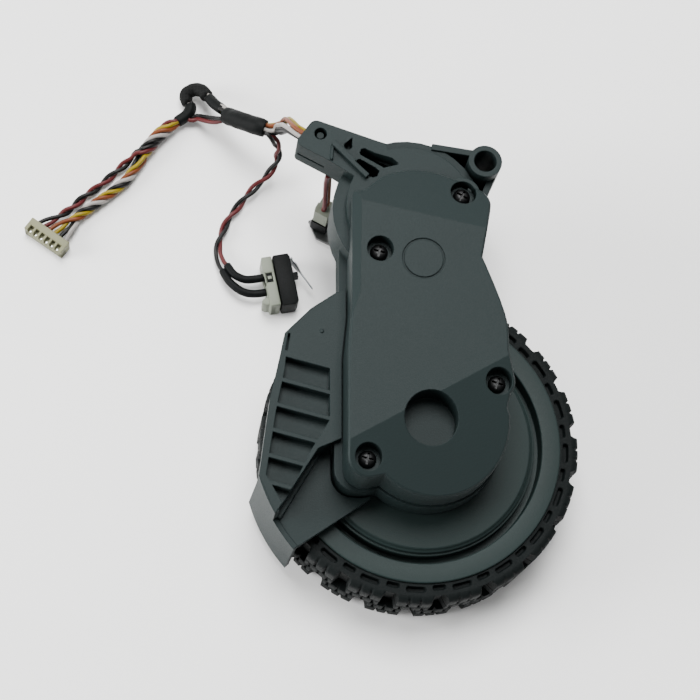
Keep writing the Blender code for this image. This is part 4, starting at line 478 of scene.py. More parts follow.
# Metals: the material's name, colour, roughness, spacing of its marks, and metallic
METALS = {
    # Ground steel: bright, with the finest lines
    "steel": ("ground_steel", "#B9BCBF", 0.28, 0.25, 1.0),
    # Rolled strip: a shade greyer, with even lines
    "strip": ("rolled_spring_steel", "#A9ADAE", 0.3, 0.3, 1.0),
    # Black oxide: near black, and only partly metallic under its oil
    "black_steel": ("black_oxide_steel", "#0B0C0D", 0.42, 0.4, 0.6),
    # Zinc plate: pale grey, with broad soft marks
    "zinc": ("zinc_plated_steel", "#A6ABAD", 0.34, 0.6, 1.0),
    # Stamped brass: warm yellow and bright
    "brass": ("stamped_brass", "#C9A455", 0.3, 0.3, 1.0),
    # Tin plate: a soft, slightly warm grey
    "tin": ("tin_plated_bronze", "#B8BAB6", 0.3, 0.3, 1.0),
    # Turned copper: orange, with fine tool lines
    "copper": ("turned_copper", "#C77B4F", 0.3, 0.3, 1.0),
    # Steel laminations under brown varnish: dull, and only partly metallic
    "laminations": ("varnished_laminations", "#6B5B49", 0.45, 0.3, 0.6),
}
# Powders: the material's name, colour, roughness, grain, and metallic
POWDERS = {
    # Sintered bronze: brown and porous, with a metal's shine between the pores
    "bronze": ("sintered_bronze", "#A8794B", 0.5, 0.25, 0.9),
    # Sintered ferrite: dark grey and dull
    "ferrite": ("sintered_ferrite", "#34363A", 0.62, 0.3, 0.0),
    # Pressed carbon: near black and sooty
    "carbon": ("pressed_carbon", "#202123", 0.7, 0.25, 0.0),
}
# Wires: the material's name and colour
WIRES = {
    "wire_yellow": ("vinyl_insulation_yellow", "#7C6A08"),
    "wire_orange": ("vinyl_insulation_orange", "#602F12"),
    "wire_white": ("vinyl_insulation_white", "#8A8682"),
    "wire_black": ("vinyl_insulation_black", "#060505"),
    "wire_red": ("vinyl_insulation_dark_red", "#4A1517"),
    "wire_tan": ("vinyl_insulation_tan", "#6E3D1C"),
}


def make_finishes():
    """Every material of the object, by its name."""
    edge = sizes().edge_radius
    housing, rim, tyre = (tuple(colour) for colour in (colours().housing, colours().rim, colours().tyre))
    made = {
        "abs_housing": moulded_plastic(
            "spark_eroded_abs_grey", housing, 0.55, ABS_GRAIN, 0.03 * MM, ABS_MOTTLE, edge=edge
        ),
        "abs_rim": moulded_plastic(
            "spark_eroded_abs_dark", rim, 0.5, ABS_GRAIN, 0.025 * MM, ABS_MOTTLE, edge=edge
        ),
        "rubber": moulded_rubber("moulded_rubber_black", tyre),
        "board": layered_board("solder_mask_black", linear("#101412")),
        "shrink": shrunk_sleeve("heat_shrink_polyolefin", linear("#060808")),
        "tape": woven_tape("acetate_cloth_tape", linear("#060707")),
    }
    makers = {moulded_plastic: PLASTICS, worked_metal: METALS, granular: POWDERS, wire_insulation: WIRES}
    for make, table in makers.items():
        for finish, (name, colour, *values) in table.items():
            made[finish] = make(name, linear(colour), *values)
    return made


# Every CAD node that keeps its own mesh, by its finish
NODE_FINISHES = {
    "nylon_black": ("plug_header", "switch_plunger"),
    "nylon_white": ("motor_plug",),
    "acetal": ("output_gear", "compound_gear_1", "compound_gear_2", "compound_gear_3"),
    "steel": ("output_shaft", "hub_screw", "gear_axle_1", "gear_axle_2", "gear_axle_3", "motor_shaft"),
    "brass": ("motor_terminal_1", "motor_terminal_2", "motor_pinion"),
    "copper": ("commutator",),
    "laminations": ("armature",),
    "bronze": ("motor_bush_front", "motor_bush_rear", "output_bush_lower", "output_bush_upper"),
    "ferrite": ("motor_magnet_1", "motor_magnet_2", "encoder_magnet"),
    "carbon": ("motor_brush_1", "motor_brush_2"),
    "board": ("encoder_board",),
}
# The CAD nodes that get a smooth copy: its name, and its finish, body and slot
HOUSING_LOOK = ("abs_housing", "housing", "housing_grey")
SMOOTH_COPIES = {
    "motor_can": ("can_shell", "zinc", "housing", "zinc_steel"),
    "motor_end_cap": ("end_cap_moulding", "nylon_black", "housing", "black_nylon"),
    "wheel_cover": ("wheel_cover_moulding", "abs_rim", "wheel", "rim_grey"),
    "motor_lead_red": ("motor_wire_red", "wire_red", "housing", "wire_red"),
    "motor_lead_tan": ("motor_wire_tan", "wire_tan", "housing", "wire_tan"),
}

FINISHES = {}


# Shapes


def smooth_through(points, steps):
    """Places on a smooth curve through the points of a route."""
    places = [Vector([value * MM for value in point]) for point in points]
    ends = [places[0], *places, places[-1]]
    curve = []
    for index in range(1, len(ends) - 2):
        before, start, stop, after = ends[index - 1 : index + 3]
        for step in range(steps):
            t = step / steps
            cubic = -before + 3 * start - 3 * stop + after
            square = 2 * before - 5 * start + 4 * stop - after
            curve.append(0.5 * (2 * start + (stop - before) * t + square * t**2 + cubic * t**3))
    curve.append(ends[-1])
    return curve


def travel(points):
    """The distance travelled along a line of points, at each of them."""
    total = [0.0]
    for here, following in zip(points, points[1:]):
        total.append(total[-1] + (following - here).length)
    return total


def evenly(points, spacing):
    """The same line with points about a spacing apart."""
    reached = travel(points)
    count = max(2, round(reached[-1] / spacing))
    result = []
    index = 0
    for step in range(count + 1):
        target = reached[-1] * step / count
        while index < len(points) - 2 and reached[index + 1] < target:
            index += 1
        run = reached[index + 1] - reached[index]
        share = 0.0 if run == 0 else (target - reached[index]) / run
        result.append(points[index].lerp(points[index + 1], min(1.0, share)))
    return result


def directions(points):
    """The forward, sideways and upward direction at each point of a line that never runs straight up."""
    frames = []
    for index in range(len(points)):
        forward = (points[min(index + 1, len(points) - 1)] - points[max(index - 1, 0)]).normalized()
        side = forward.cross(Vector((0, 0, 1))).normalized()
        frames.append((forward, side, side.cross(forward)))
    return frames


def transported(points):
    """Two directions across a line of points that turn as little as they can along it."""
    frames = []
    across = None
    for forward, side, _ in directions(points):
        across = side if across is None else (across - forward * across.dot(forward)).normalized()
        frames.append((across, forward.cross(across)))
    return frames


def rings_to_mesh(work, rings, ends="closed", material=0):
    """Skins a row of rings, each a list of places. Its ends are closed, open or joined."""
    made = [[work.verts.new(place) for place in ring] for ring in rings]
    if ends == "joined":
        made.append(made[0])
    count = len(made[0])
    for here, following in zip(made, made[1:]):
        for index in range(count):
            face = work.faces.new((here[index - 1], following[index - 1], following[index], here[index]))
            face.material_index = material
            face.smooth = True
    if ends == "closed":
        for ring in (made[0][::-1], made[-1]):
            work.faces.new(ring).material_index = material


def revolve(work, section, steps, middle=(0.0, 0.0)):
    """Adds a closed section of radius and height, turned once round an upright axis."""
    rings = []
    for step in range(steps):
        angle = math.tau * step / steps
        x, y = math.cos(angle), math.sin(angle)
        rings.append([((middle[0] + r * x) * MM, (middle[1] + r * y) * MM, z * MM) for r, z in section])
    rings_to_mesh(work, rings, "joined")


def tube_rings(points, radius, sides):
    """Rings round a line of points. The radius may be a number or a function of place and angle."""
    rings = []
    for index, (place, (across, over)) in enumerate(zip(points, transported(points))):
        ring = []
        for side in range(sides):
            angle = math.tau * side / sides
            reach = radius(index, angle) if callable(radius) else radius
            ring.append(place + (across * math.cos(angle) + over * math.sin(angle)) * reach)
        rings.append(ring)
    return rings


def finished_mesh(work, name, merge=0.0):
    """A mesh from the bmesh, with its faces turned outwards."""
    if merge:
        bmesh.ops.remove_doubles(work, verts=work.verts, dist=merge)
    bmesh.ops.recalc_face_normals(work, faces=work.faces)
    mesh = bpy.data.meshes.new(name)
    work.to_mesh(mesh)
    work.free()
    return mesh


def place_piece(name, mesh, finishes, body, replaced=(), crease=0):
    """Puts a mesh in the scene as a piece that rides on a body.

    Edges that turn by more than the crease, in degrees, are drawn sharp.
    """
    if crease:
        mesh.set_sharp_from_angle(angle=math.radians(crease))
    made = bpy.data.objects.new(name, mesh)
    bpy.context.scene.collection.objects.link(made)
    if not mesh.materials:
        for finish in finishes:
            mesh.materials.append(FINISHES[finish])
    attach(made, body)
    if replaced:
        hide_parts(*replaced)
    return made


def clamped(share):
    """The share, kept between 0 and 1."""
    return min(1.0, max(0.0, share))


def settled(share):
    """A smooth step from 0 to 1."""
    share = clamped(share)
    return share * share * (3 - 2 * share)


# Operators


class WHEELMODULE_OT_stage(bpy.types.Operator):
    """Makes the pale floor, the soft lamps and the camera."""

    bl_idname = "wheelmodule.stage"
    bl_label = "Stage"

    def execute(self, context):
        settings = context.scene.module_stage
        make_floor()
        make_camera(settings.lens)
        make_lamp("top_lamp", (-0.06, 0.36, 0.92), 0.5, settings.top_power)
        make_lamp("side_lamp", (-0.85, -0.05, 0.35), 0.45, settings.side_power)
        make_lamp("back_lamp", (-0.2, 0.9, 0.45), 0.5, settings.back_power)
        make_room(settings.ambient)
        return {"FINISHED"}


def make_room(strength):
    """Even white light from all round."""
    world = bpy.data.worlds.new("soft_room")
    world.use_nodes = True
    background = world.node_tree.nodes["Background"]
    background.inputs["Color"].default_value = (1, 1, 1, 1)
    background.inputs["Strength"].default_value = strength
    bpy.context.scene.world = world


def make_floor():
    """A wide pale floor at z = 0."""
    work = bmesh.new()
    bmesh.ops.create_grid(work, x_segments=1, y_segments=1, size=1.5)
    mesh = bpy.data.meshes.new("floor")
    work.to_mesh(mesh)
    work.free()
    floor = bpy.data.objects.new("floor", mesh)
    floor.location.z = -0.05 * MM
    bpy.context.scene.collection.objects.link(floor)
    made, tree, shader, place = blank_material("pale_paper", linear("#FBFBFA"), 0.9)
    fibre = add_node(tree, "ShaderNodeTexNoise", {"Scale": per_mm(40), "Detail": 2.0}, Vector=place)
    vary_colour(tree, shader, fibre.outputs["Fac"], linear("#F8F8F7"), linear("#FDFDFC"))
    mesh.materials.append(made)


def make_camera(lens):
    """The camera at the photograph's viewing angle. The world's +Y stands upright in its picture."""
    data = bpy.data.cameras.new("camera")
    data.lens = lens
    data.sensor_width = 36
    camera = bpy.data.objects.new("camera", data)
    backwards = (Vector(CAMERA_EYE) - Vector(CAMERA_TARGET)).normalized()
    right = Vector((0, 1, 0)).cross(backwards).normalized()
    up = backwards.cross(right)
    turn = Matrix((right, up, backwards)).transposed().to_4x4()
    camera.matrix_world = Matrix.Translation(CAMERA_EYE) @ turn
    bpy.context.scene.collection.objects.link(camera)
    bpy.context.scene.camera = camera


def make_lamp(name, place, size, power):
    """A square area lamp that faces the object."""
    data = bpy.data.lights.new(name, "AREA")
    data.size = size
    data.energy = power
    lamp = bpy.data.objects.new(name, data)
    lamp.location = place
    lamp.rotation_euler = (Vector(LAMP_TARGET) - Vector(place)).to_track_quat("-Z", "Y").to_euler()
    bpy.context.scene.collection.objects.link(lamp)


class WHEELMODULE_OT_harness(bpy.types.Operator):
    """Makes the twisted wires of the harness and of the drop switch."""

    bl_idname = "wheelmodule.harness"
    bl_label = "Wires"

    def execute(self, context):
        make_supply_wires()
        make_sensor_wires()
        make_switch_wires()
        return {"FINISHED"}


WIRE_SIDES = 10
CURVE_STEPS = 8
PATH_SPACING = 0.6 * MM
# Over how long the wires fan out to the places where they end
FAN_LENGTH = 7 * MM
# How far a wire strays round the path, in radians, and off its distance from it, and how quickly
STRAY_TURN = 0.22
STRAY_TURN_LENGTH = 9 * MM
STRAY_REACH = 0.12
STRAY_REACH_LENGTH = 7 * MM


def wound_wires(name, path, stations, wires, targets=None, arches=None):
    """One mesh of several wires that wind round a path.

    stations holds, by distance travelled in metres, how far the wires stand from the path, how far
    they are towards their second layout, and how far they have turned. wires holds, for each, its
    finish and its angle in the first and in the second layout. arches holds, by a wire's number,
    the distances between which it arches away from its place, and how far it goes.
    """
    radius = sizes().wire_diameter / 2
    reached = travel(path)
    frames = directions(path)
    chance = random.Random(7)
    work = bmesh.new()
    finishes = list(dict.fromkeys(wire[0] for wire in wires))
    for index, (finish, first, second) in enumerate(wires):
        drift = chance.uniform(0, 50)
        line = []
        for place, distance, (_, side, over) in zip(path, reached, frames):
            reach, share, turn = between(stations, distance)
            angle = math.radians(first + (second - first) * share) - turn
            angle += STRAY_TURN * noise.noise(Vector((drift, distance / STRAY_TURN_LENGTH, 0)))
            reach *= 1 + STRAY_REACH * noise.noise(Vector((drift, distance / STRAY_REACH_LENGTH, 5)))
            here = place + (side * math.cos(angle) + over * math.sin(angle)) * reach
            if arches and index in arches:
                here += arched(distance, *arches[index])
            if targets:
                pull = settled((distance - reached[-1] + FAN_LENGTH) / (FAN_LENGTH - MM))
                here = here.lerp(Vector(targets[index]) + place - path[-1], pull)
            line.append(here)
        rings_to_mesh(work, tube_rings(line, radius, WIRE_SIDES), material=finishes.index(finish))
    return finished_mesh(work, name), finishes


def arched(distance, start, stop, shift):
    """How far an arch moves a wire at a distance along its path."""
    return Vector(shift) * math.sin(math.pi * clamped((distance - start) / (stop - start))) ** 2


def between(stations, distance):
    """The values of the stations at a distance. The turn runs evenly, the others change smoothly."""
    before = stations[0]
    for station in stations[1:]:
        if distance <= station[0]:
            share = (distance - before[0]) / (station[0] - before[0])
            values = [a + (b - a) * settled(share) for a, b in zip(before[1:3], station[1:3])]
            return (*values, before[3] + (station[3] - before[3]) * share)
        before = station
    return before[1:]


def junctions(*routes):
    """How far along the joined routes each one ends, and the joined path itself."""
    points = [point for route in routes for point in route]
    curve = smooth_through(points, CURVE_STEPS)
    reached = travel(curve)
    marks = []
    total = 0
    for route in routes:
        total += len(route)
        marks.append(reached[min(len(reached) - 1, (total - 1) * CURVE_STEPS)])
    return marks, evenly(curve, PATH_SPACING)


def connector_place(x, y, z):
    """A place in the connector's frame: x along its row of circuits, y towards its wires."""
    turn = CONNECTOR_TURN
    return (
        CONNECTOR_AT[0] + x * math.cos(turn) - y * math.sin(turn),
        CONNECTOR_AT[1] + x * math.sin(turn) + y * math.cos(turn),
        z,
    )


def circuit_places(circuits):
    """Where the wires of these circuits enter the connector."""
    return [connector_place(circuit_offset(number), WIRE_ENTRY, CONNECTOR_MIDDLE) for number in circuits]


def circuit_offset(number):
    """How far along the connector's row a circuit stands from the middle."""
    return (number - (CIRCUITS - 1) / 2) * CONNECTOR_PITCH


# How far the wires stand from their path, in a ring of six, a bundle, a four, a tight four and a pair
RING_REACH = 1.02 * MM
BUNDLE_REACH = 1.15 * MM
QUAD_REACH = 0.76 * MM
TIGHT_REACH = 0.6 * MM
PAIR_REACH = 0.52 * MM
# How far they have turned round it at each place along it, in radians
TRUNK_START_TURN = -0.6
TRUNK_TURN = -0.2
SLEEVE_TURN = 1.4
NARROW_TURN = 1.7
FOLD_TURN = 2.2
BYPASS_TURN = 1.8
LOOP_TURN = 4.3
BUNDLE_START_TURN = 4.7
BUNDLE_END_TURN = 10.0
SPLIT_TURN = 10.9
SWITCH_START_TURN = 0.4
SWITCH_LAST_TURN = 0.2
# How far the wires go while they change from one layout to the next
CHANGE_LENGTH = 3 * MM
# The yellow and the orange wire arch up between the arm and the main sleeve
ARCH_START = 2.5 * MM
YELLOW_ARCH = (0.0, 1.1 * MM, 0.4 * MM)
ORANGE_ARCH = (0.0, 0.7 * MM, 0.3 * MM)
# The wires to the drop switch are twisted more loosely than the rest
SWITCH_PITCH_SHARE = 1.25


def trunk_stations(trunk, sleeve):
    """The layout of the wires from the arm to the end of the main sleeve."""
    return [
        (0.0, RING_REACH, 0.0, TRUNK_START_TURN),
        (trunk, RING_REACH, 0.0, TRUNK_TURN),
        (sleeve, RING_REACH, 0.0, SLEEVE_TURN),
    ]


def bundle_stations(start, bundle, end, before, after):
    """The layout of the wires through the bundle and on to the connector.

    before and after are how far the wires stand from their path on either side of the bundle.
    """
    turned = SPLIT_TURN + math.tau * (end - bundle) / sizes().twist_pitch
    return [
        (start + CHANGE_LENGTH, before, 1.0, LOOP_TURN),
        (start + 2 * CHANGE_LENGTH, BUNDLE_REACH, 0.0, BUNDLE_START_TURN),
        (bundle, BUNDLE_REACH, 0.0, BUNDLE_END_TURN),
        (bundle + CHANGE_LENGTH, after, 1.0, SPLIT_TURN),
        (end, after, 1.0, turned),
    ]


def make_supply_wires():
    """Four wires, from the arm through the sleeves and the fold to the connector."""
    before_fold = (TRUNK_ROUTE, MAIN_SLEEVE_ROUTE, NARROW_SLEEVE_ROUTE, FOLD_ROUTE)
    marks, path = junctions(*before_fold, FOLD_LEAD_ROUTE, BUNDLE_ROUTE, QUAD_ROUTE)
    trunk, sleeve, narrow, fold, lead, bundle, end = marks
    stations = [
        *trunk_stations(trunk, sleeve),
        (narrow - CHANGE_LENGTH, TIGHT_REACH, 1.0, NARROW_TURN),
        (fold, TIGHT_REACH, 1.0, FOLD_TURN),
        *bundle_stations(lead, bundle, end, TIGHT_REACH, QUAD_REACH),
    ]
    wires = [
        ("wire_yellow", 0, 0),
        ("wire_orange", 60, 90),
        ("wire_white", 120, 180),
        ("wire_black", 180, 270),
    ]
    arches = {0: (ARCH_START, trunk, YELLOW_ARCH), 1: (ARCH_START, trunk, ORANGE_ARCH)}
    targets = circuit_places((3, 2, 5, 4))
    mesh, finishes = wound_wires("supply_wires", path, stations, wires, targets, arches)
    nodes = ("lead_trunk", "lead_fold", "lead_bundle", "lead_quad")
    made = place_piece("supply_wires", mesh, finishes, "housing", nodes)


def make_sensor_wires():
    """Two wires, from the arm past the fold to the connector."""
    marks, path = junctions(TRUNK_ROUTE, MAIN_SLEEVE_ROUTE, BYPASS_ROUTE, BUNDLE_ROUTE, PAIR_ROUTE)
    trunk, sleeve, bypass, bundle, end = marks
    stations = [
        *trunk_stations(trunk, sleeve),
        (sleeve + 2 * MM, PAIR_REACH, 1.0, BYPASS_TURN),
        *bundle_stations(bypass, bundle, end, PAIR_REACH, PAIR_REACH),
    ]
    wires = [("wire_black", 240, 180), ("wire_red", 300, 360)]
    mesh, finishes = wound_wires("sensor_wires", path, stations, wires, circuit_places((0, 1)))
    nodes = ("lead_bypass", "lead_pair")
    made = place_piece("sensor_wires", mesh, finishes, "housing", nodes)


def make_switch_wires():
    """Two wires from the main sleeve to the drop switch, each ending in a shrunk sleeve."""
    marks, path = junctions(SWITCH_LEAD_ROUTE)
    end = marks[-1]
    turned = SWITCH_START_TURN + math.tau * end / (SWITCH_PITCH_SHARE * sizes().twist_pitch)
    stations = [
        (0.0, PAIR_REACH, 0.0, SWITCH_START_TURN),
        (end - 4 * MM, PAIR_REACH, 0.0, turned),
        (end, PAIR_REACH, 0.0, turned + SWITCH_LAST_TURN),
    ]
    wires = [("wire_red", 0, 0), ("wire_black", 180, 180)]
    targets = [[value * MM for value in route[0]] for route in SWITCH_SLEEVE_ROUTES]
    mesh, finishes = wound_wires("switch_wires", path, stations, wires, targets)
    made = place_piece("switch_wires", mesh, finishes, "housing", ("switch_lead",))


class WHEELMODULE_OT_sleeves(bpy.types.Operator):
    """Makes the shrunk sleeves and the taped fold."""

    bl_idname = "wheelmodule.sleeves"
    bl_label = "Sleeves and tape"

    def execute(self, context):
        for name, route, radius, crinkle, nodes in SLEEVES:
            make_shrunk_sleeve(name, route, radius * MM, crinkle, nodes)
        make_fold()
        return {"FINISHED"}


ROUTE_STEPS = 10
SLEEVE_SPACING = 0.35 * MM
SLEEVE_SIDES = 28
SLEEVE_WALL = 0.22 * MM
# How many rings deep the open ends are, and over how many rings their lips are drawn in
SLEEVE_DEPTH = 4
LIP_RINGS = 3
LIP_SHARE = 0.05
FOLD_SPACING = 0.3 * MM
FOLD_SIDES = 32
FOLD_RADIUS = 1.6 * MM
# How many rings one turn of the tape takes, how far its edge stands up and how lumpy it is
TAPE_RINGS = 9
TAPE_STEP = 0.06
TAPE_LUMP = 0.09
# How narrow the fold's ends are, and over how many rings they widen
END_SHARE = 0.45
END_RINGS = 5


def lump(angle, along, roundness):
    """A smooth swelling, from -1 to 1, at an angle round a tube and a place along it."""
    return noise.noise(Vector((math.cos(angle) * roundness, math.sin(angle) * roundness, along)))


def make_shrunk_sleeve(name, route, radius, crinkle, nodes):
    """A thin-walled sleeve, drawn tight over what it holds, open at both ends."""
    path = evenly(smooth_through(route, ROUTE_STEPS), SLEEVE_SPACING)
    last = len(path) - 1

    def outer(index, angle):
        lip = settled(1 - index / LIP_RINGS) + settled(1 - (last - index) / LIP_RINGS)
        swelling = crinkle * lump(angle, index * 0.16 + len(name), 1.6)
        return radius * (1 - LIP_SHARE * lip) * (1 + swelling)

    skin = tube_rings(path, outer, SLEEVE_SIDES)
    lining = []
    for ring, place in zip(skin, path):
        lining.append([point + (place - point).normalized() * SLEEVE_WALL for point in ring])
    depth = min(SLEEVE_DEPTH, last // 3)
    work = bmesh.new()
    rings_to_mesh(work, lining[depth::-1] + skin + lining[: last - depth - 1 : -1])
    place_piece(name, finished_mesh(work, name), ["shrink"], "housing", nodes)


def make_fold():
    """The harness doubled back on itself under a wrap of cloth tape."""
    path = evenly(smooth_through(FOLD_ROUTE, ROUTE_STEPS), FOLD_SPACING)
    last = len(path) - 1

    def wrap(index, angle):
        step = (index / TAPE_RINGS + angle / math.tau) % 1
        end = min(index, last - index) + 1
        width = min(1.0, END_SHARE + end / END_RINGS)
        relief = TAPE_STEP * step + TAPE_LUMP * lump(angle, index * 0.12, 1.4)
        return FOLD_RADIUS * width * (0.95 + relief)

    work = bmesh.new()
    rings_to_mesh(work, tube_rings(path, wrap, FOLD_SIDES))
    mesh = finished_mesh(work, "tape_wrap")
    place_piece("tape_wrap", mesh, ["tape"], "housing", ("tape_fold",))


class WHEELMODULE_OT_finishes(bpy.types.Operator):
    """Makes the materials and gives every CAD node its own."""

    bl_idname = "wheelmodule.finishes"
    bl_label = "Finishes"

    def execute(self, context):
        FINISHES.update(make_finishes())
        for finish, nodes in NODE_FINISHES.items():
            for name in nodes:
                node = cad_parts[name]
                for slot in node.material_slots:
                    slot.material = FINISHES[finish]
                if not node.material_slots:
                    node.data.materials.append(FINISHES[finish])
        return {"FINISHED"}


class WHEELMODULE_OT_mouldings(bpy.types.Operator):
    """Makes the mouldings, motor and leads, smooth where round and crisp between their facets."""

    bl_idname = "wheelmodule.mouldings"
    bl_label = "Mouldings"

    def execute(self, context):
        make_moulding("housing_moulding", "drive_housing", HOUSING_LOOK, arm_waste(), add_arm_details)
        make_moulding("cover_moulding", "gearbox_cover", HOUSING_LOOK, counterbore_waste(), add_cup)
        make_moulding("guard_moulding", "wheel_guard", HOUSING_LOOK, None, change_guard)
        for node, (name, *look) in SMOOTH_COPIES.items():
            make_moulding(name, node, look)
        return {"FINISHED"}


# Turns sharper than these, in degrees, are drawn as edges
CREASE = 40
RIM_CREASE = 32
SCREW_CREASE = 35
TYRE_CREASE = 50
# On the mouldings, facets that look up meet in crisp edges, and elsewhere only a real crease does
FACET_ANGLE = math.radians(2)
CREASE_ANGLE = math.radians(28)
FACING_UP = 0.7

COUNTERBORE_RADIUS = 2.84
CUP_RADIUS = 3.8
CUP_HEIGHT = 2.3
ROUND_STEPS = 48
GUARD_TOP = 29.8
POCKET_FLOOR = 24.6
POCKET_LIFT = 2.6
GUARD_DOT_AT = (-22.8, 21.1)
GUARD_DOT_RADIUS = 0.4
GUARD_DOT_RISE = 0.25
ARM_TOP = 36.0
ARM_FOOT = 27.0
ARM_CORNERS = ((-21.8, 57.9), (-29.4, 61.8), (-25.4, 67.6), (-11.2, 63.0))
ARM_CORNER_REACH = 1.4
ARM_SLOT_FLOOR = 30.5
ARM_SLOTS = (
    ((-15.3, 60.1), (-14.9, 61.0), (-14.2, 61.2), (-8.8, 58.7), (-6.8, 57.7), (-10.0, 56.8), (-15.1, 59.6)),
    ((-16.1, 57.2), (-15.8, 58.3), (-15.2, 58.6), (-11.9, 56.8), (-11.0, 56.0), (-11.5, 54.7), (-12.5, 54.4)),
)
ARM_HOLE_AT = (-23.8, 64.2)
ARM_POST_RADIUS = 0.85
ARM_POST_HEIGHT = 4
HOOK_LEG = ((-21.5, 61.5), (-20.9, 61.6), (-21.2, 58.0), (-21.8, 58.2))
HOOK_RISE = 0.7


def round_outline(middle, radius, sides):
    """Points round a circle."""
    turns = [math.tau * side / sides for side in range(sides)]
    return [(middle[0] + radius * math.cos(turn), middle[1] + radius * math.sin(turn)) for turn in turns]


def corner_waste(before, corner, after, reach):
    """The outline of what is cut off to round an upright corner."""
    before, corner, after = Vector(before), Vector(corner), Vector(after)
    start = corner + (before - corner).normalized() * reach
    stop = corner + (after - corner).normalized() * reach
    outwards = (2 * corner - start - stop).normalized()
    steps = [step / 6 for step in range(7)]
    arc = [start * (1 - t) ** 2 + corner * 2 * t * (1 - t) + stop * t**2 for t in steps]
    return [*arc, stop + outwards, corner + outwards * 2, start + outwards]


def arm_waste():
    """What is cut from the arm: its sharp end corners and its two broad slots."""
    work = bmesh.new()
    for corners in zip(ARM_CORNERS, ARM_CORNERS[1:], ARM_CORNERS[2:]):
        add_plate(work, corner_waste(*corners, ARM_CORNER_REACH), ARM_FOOT, ARM_TOP + 1)
    for slot in ARM_SLOTS:
        add_plate(work, slot, ARM_SLOT_FLOOR, ARM_TOP + 1)
    return finished_mesh(work, "arm_waste")


def counterbore_waste():
    """What is cut from the cover: the four round counterbores of its screws."""
    work = bmesh.new()
    for x, y, seat in map(screw_seat, SCREW_NUMBERS):
        add_plate(work, round_outline((x, y), COUNTERBORE_RADIUS, ROUND_STEPS), seat + 0.01, seat + 7)
    return finished_mesh(work, "counterbore_waste")


def add_cup(work):
    """The wall that closes the counterbore where the cover slopes away, at the second screw."""
    x, y, seat = screw_seat(2)
    top = seat + CUP_HEIGHT
    corners = (
        (COUNTERBORE_RADIUS, seat, 0.0),
        (CUP_RADIUS, seat, 0.0),
        (CUP_RADIUS, top, 0.25),
        (COUNTERBORE_RADIUS, top, 0.1),
    )
    revolve(work, filleted(corners), ROUND_STEPS, (x, y))


def change_guard(work):
    """Lifts the floors of the guard's pockets and adds its moulded dot."""
    for vertex in work.verts:
        if abs(vertex.co.z - POCKET_FLOOR * MM) < 0.01 * MM:
            vertex.co.z += POCKET_LIFT * MM
    dot = round_outline(GUARD_DOT_AT, GUARD_DOT_RADIUS, 20)
    add_plate(work, dot, GUARD_TOP - 1, GUARD_TOP + GUARD_DOT_RISE, 0.1)


def add_arm_details(work):
    """The post in the arm's hole and the short leg of its spring hook."""
    post = round_outline(ARM_HOLE_AT, ARM_POST_RADIUS, 24)
    add_plate(work, post, ARM_TOP - 1 - ARM_POST_HEIGHT, ARM_TOP - 1, 0.12)
    add_plate(work, HOOK_LEG, ARM_TOP - 1, ARM_TOP + HOOK_RISE, 0.1)


def without(mesh, waste, name):
    """The mesh after the shape of the waste is cut from it."""
    base = bpy.data.objects.new(name, mesh)
    tool = bpy.data.objects.new("waste", waste)
    for made in (base, tool):
        bpy.context.scene.collection.objects.link(made)
    cut = base.modifiers.new("cut", "BOOLEAN")
    cut.object = tool
    cut.use_self = True
    result = evaluated_mesh(base, name)
    for made in (base, tool):
        bpy.data.objects.remove(made)
    return result


def make_moulding(name, node, look, waste=None, add_details=None):
    """A copy of a CAD node's shape, smooth where it is round and crisp between its facets."""
    work = bmesh.new()
    work.from_mesh(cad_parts[node].data)
    bmesh.ops.remove_doubles(work, verts=work.verts, dist=0.002 * MM)
    if waste:
        whole = bpy.data.meshes.new(name)
        work.to_mesh(whole)
        work.clear()
        work.from_mesh(without(whole, waste, name))
    if add_details:
        add_details(work)
    bmesh.ops.recalc_face_normals(work, faces=work.faces)
    for face in work.faces:
        face.smooth = True
    for edge in work.edges:
        if len(edge.link_faces) == 2:
            facing_up = min(face.normal.z for face in edge.link_faces) > FACING_UP
            edge.smooth = edge.calc_face_angle() < (FACET_ANGLE if facing_up else CREASE_ANGLE)
    mesh = bpy.data.meshes.new(name)
    work.to_mesh(mesh)
    work.free()
    finish, body, slot = look
    place_piece(name, mesh, [finish], body, (node,))


class WHEELMODULE_OT_rim(bpy.types.Operator):
    """Makes the rim: a disc, a stepped groove and a ring, with ribs behind them."""

    bl_idname = "wheelmodule.rim"
    bl_label = "Rim"

    def execute(self, context):
        work = bmesh.new()
        revolve(work, filleted(RIM_CORNERS), RIM_STEPS)
        for index in range(RIM_RIBS):
            angle = math.tau * index / RIM_RIBS
            middle = (RIB_REACH * math.cos(angle), RIB_REACH * math.sin(angle), RIB_MIDDLE)
            add_block(work, middle, RIB_SIZE, 0.1, angle)
        mesh = finished_mesh(work, "rim_moulding")
        place_piece("rim_moulding", mesh, ["abs_rim"], "wheel", ("wheel_rim",), RIM_CREASE)
        return {"FINISHED"}


RIM_STEPS = 120
RIM_RIBS = 6
RIB_REACH = 17.5
RIB_MIDDLE = 8.5
RIB_SIZE = (24.0, 1.4, 11.0)
